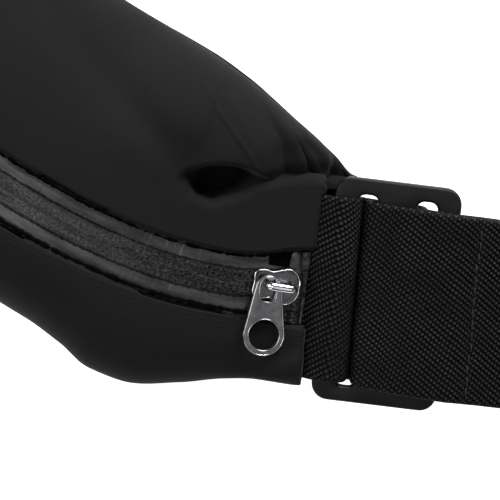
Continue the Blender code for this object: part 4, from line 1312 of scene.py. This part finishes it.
def make_slider():
    """Dished top plate with a bright rim, plate under the zip, neck between them, and bridge."""
    place = zip_frame(SLIDER_ANGLE)
    plate = extruded("slider_plate", slider_outline(), 0.0, PLATE_TOP, DARK_METAL)
    round_edges(plate, 0.00022)
    dish = extruded("dish", slider_outline(0.78), PLATE_TOP - DISH_DEPTH, 0.01, GUNMETAL)
    carve(plate, dish)
    smooth_faces(plate, 35)
    place_piece(plate, place, "zip_slider", "gunmetal", "zip_slider_body")
    base = extruded("slider_underplate", slider_outline(0.93), *UNDERPLATE, GUNMETAL)
    round_edges(base, 0.0002)
    place_piece(base, place, "zip_slider", "gunmetal")
    neck = extruded("slider_neck", rounded_box_outline(*NECK_SIZE), -0.0027, 0.0003, GUNMETAL)
    neck.data.transform(move(NECK_FORWARD, 0, 0))
    place_piece(neck, place, "zip_slider", "gunmetal")
    rim_piece("slider_rim", slider_outline(0.965), PLATE_TOP - 0.00002, 0.00010, place,
              "zip_slider", POLISHED)

    back, front, top, width, bar = BRIDGE
    half = bar / 2
    level = top - half

    def leg(x, inward):
        """Up from the plate and round the corner, inward along the zip."""
        arc = [(x + inward * BRIDGE_CORNER * (1 - math.cos(a)),
                level - BRIDGE_CORNER * (1 - math.sin(a))) for a in np.radians([20, 45, 70])]
        return ([(x, PLATE_TOP - 0.0004), (x, level - BRIDGE_CORNER)] + arc
                + [(x + inward * BRIDGE_CORNER, level)])

    line = leg(back + half, 1) + leg(front - half, -1)[::-1]
    points = np.array([(x, 0, z) for x, z in line])
    points = np.concatenate([np.linspace(a, b, 4)[:-1] for a, b in zip(points, points[1:])]
                            + [points[-1:]])
    bridge = tube_piece("slider_bridge", points, half, POLISHED, sides=16)
    flat = Matrix.Scale(width / bar, 4, (0, 1, 0))
    place_piece(bridge, place @ flat, "zip_slider", "gunmetal_polished", "zip_slider_bridge")


def make_puller():
    """Tag with a ring end and a round hole, and bright rims on both of its faces."""
    place = zip_frame(SLIDER_ANGLE) @ move(*TAG_PLACE) @ turn(TAG_TURN, "Z")
    half = TAG_THICK / 2
    tag = extruded("puller_tag", tag_outline(), -half, half, GUNMETAL)
    hole = extruded("hole", hole_outline(HOLE_RADIUS), *THROUGH, GUNMETAL)
    ring = [(x + TAG_X, y - 0.0008) for x, y in rounded_box_outline(0.0036, 0.0052, 0.0017, 8)]
    carve(tag, hole, extruded("slot", ring, *THROUGH, GUNMETAL))
    round_edges(tag, 0.00018)
    place_piece(tag, place, "puller", "gunmetal", "zip_puller")
    rims = (("rim", tag_outline(0.00018), 0.98, 0.00011),
            ("hole_rim", hole_outline(0.00325), 0.98, 0.00010), ("slot_rim", ring, 0.97, 0.00009))
    for side, height in (("front", half), ("back", -half)):
        for name, outline, share, radius in rims:
            rim_piece("puller_%s_%s" % (name, side), outline, height * share, radius, place,
                      "puller", RIM)


# ---- stage and camera ----------------------------------------------------------------
FLOOR_DROP = 0.0008            # the floor lies clear of the underside, just below the CAD box
WORLD_LIGHT = 0.10
# name; how far right, up and above it stands from the seam, and its size, in metres; watts
LIGHTS = (("key_softbox", 0.38, 0.78, 0.52, 0.60, 21.0),
          ("side_softbox", -0.70, 0.10, 0.45, 0.50, 4.4),
          ("low_softbox", -0.45, -0.60, 0.40, 0.35, 0.7),
          ("tape_softbox", -0.16, -0.14, 0.75, 0.42, 1.15),
          ("metal_softbox", 0.34, -0.38, 0.70, 0.45, 0.6))


def make_stage():
    """Pale floor, plain white surroundings and square softboxes that face the seam."""
    mesh = bpy.data.meshes.new("studio_floor")
    size = 3.0
    mesh.from_pydata([(-size, -size, 0), (size, -size, 0), (size, size, 0), (-size, size, 0)],
                     [], [(0, 1, 2, 3)])
    mesh.materials.append(floor_material())
    floor = link(bpy.data.objects.new("studio_floor", mesh))
    floor.location.z = cad_box[0][2] - FLOOR_DROP

    world = bpy.data.worlds.new("studio_world")
    world.use_nodes = True
    back = world.node_tree.nodes["Background"]
    back.inputs["Color"].default_value = (1.0, 1.0, 1.0, 1)
    back.inputs["Strength"].default_value = WORLD_LIGHT
    bpy.context.scene.world = world
    bpy.context.scene.view_settings.view_transform = "Standard"

    target = SEAM.translation
    view = plan_axes()
    for name, right, up, height, size, power in LIGHTS:
        light = bpy.data.lights.new(name, "AREA")
        light.shape = "SQUARE"
        light.size = size
        light.energy = power
        lamp = link(bpy.data.objects.new(name, light))
        lamp.location = target + view[0] * right + view[1] * up + Vector((0, 0, height))
        lamp.rotation_euler = (target - lamp.location).to_track_quat("-Z", "Y").to_euler()


VIEW_HEADING = 49.2            # plan direction that runs to the right in the picture
VIEW_LEAN = 4.0                # how far the camera leans out from straight above
VIEW_DISTANCE = 0.45
VIEW_WIDTH = 0.1014
VIEW_SHIFT = (-0.0118, 0.0078)     # from the seam to the middle of the picture, right and up
SENSOR = 36.0


def plan_axes():
    """Horizontal unit vectors that run right and up in the picture."""
    angle = math.radians(VIEW_HEADING)
    return (Vector((math.cos(angle), math.sin(angle), 0)),
            Vector((-math.sin(angle), math.cos(angle), 0)))


def make_camera():
    right, up = plan_axes()
    lean = math.radians(VIEW_LEAN)
    towards = up * -math.sin(lean) + Vector((0, 0, math.cos(lean)))
    image_up = up * math.cos(lean) + Vector((0, 0, math.sin(lean)))
    target = SEAM.translation + right * VIEW_SHIFT[0] + image_up * VIEW_SHIFT[1]
    camera = bpy.data.cameras.new("camera")
    camera.sensor_width = SENSOR
    camera.lens = SENSOR * VIEW_DISTANCE / VIEW_WIDTH
    camera.clip_start = 0.01
    obj = link(bpy.data.objects.new("camera", camera))
    obj.matrix_world = (Matrix.Translation(target + towards * VIEW_DISTANCE)
                        @ Matrix((right, image_up, towards)).transposed().to_4x4())
    bpy.context.scene.camera = obj


def dress_cad():
    """Finishes for the CAD pieces whose own shape is kept."""
    for name, material in (("zip_coil_upper", NYLON), ("zip_coil_lower", NYLON),
                           ("zip_end_stop_left", GUNMETAL), ("zip_end_stop_right", GUNMETAL)):
        mesh = NODES[name].data
        mesh.materials.clear()
        mesh.materials.append(material)


make_camera()
make_stage()
dress_cad()
upper_skin()
lower_skin()
back_skin()
tape_skin("upper", 1)
tape_skin("lower", -1)
tape_end()
frayed_edge_and_shade("upper", 1)
frayed_edge_and_shade("lower", -1)
straps()
make_glide()
make_slider()
make_puller()
for part in ("buckle_socket", "buckle_plug", "buckle_prong_inner", "buckle_prong_outer"):
    bevelled_copy(part, part.replace("buckle", "side_release"), MOULDED, 0.0007, "moulded_plastic")
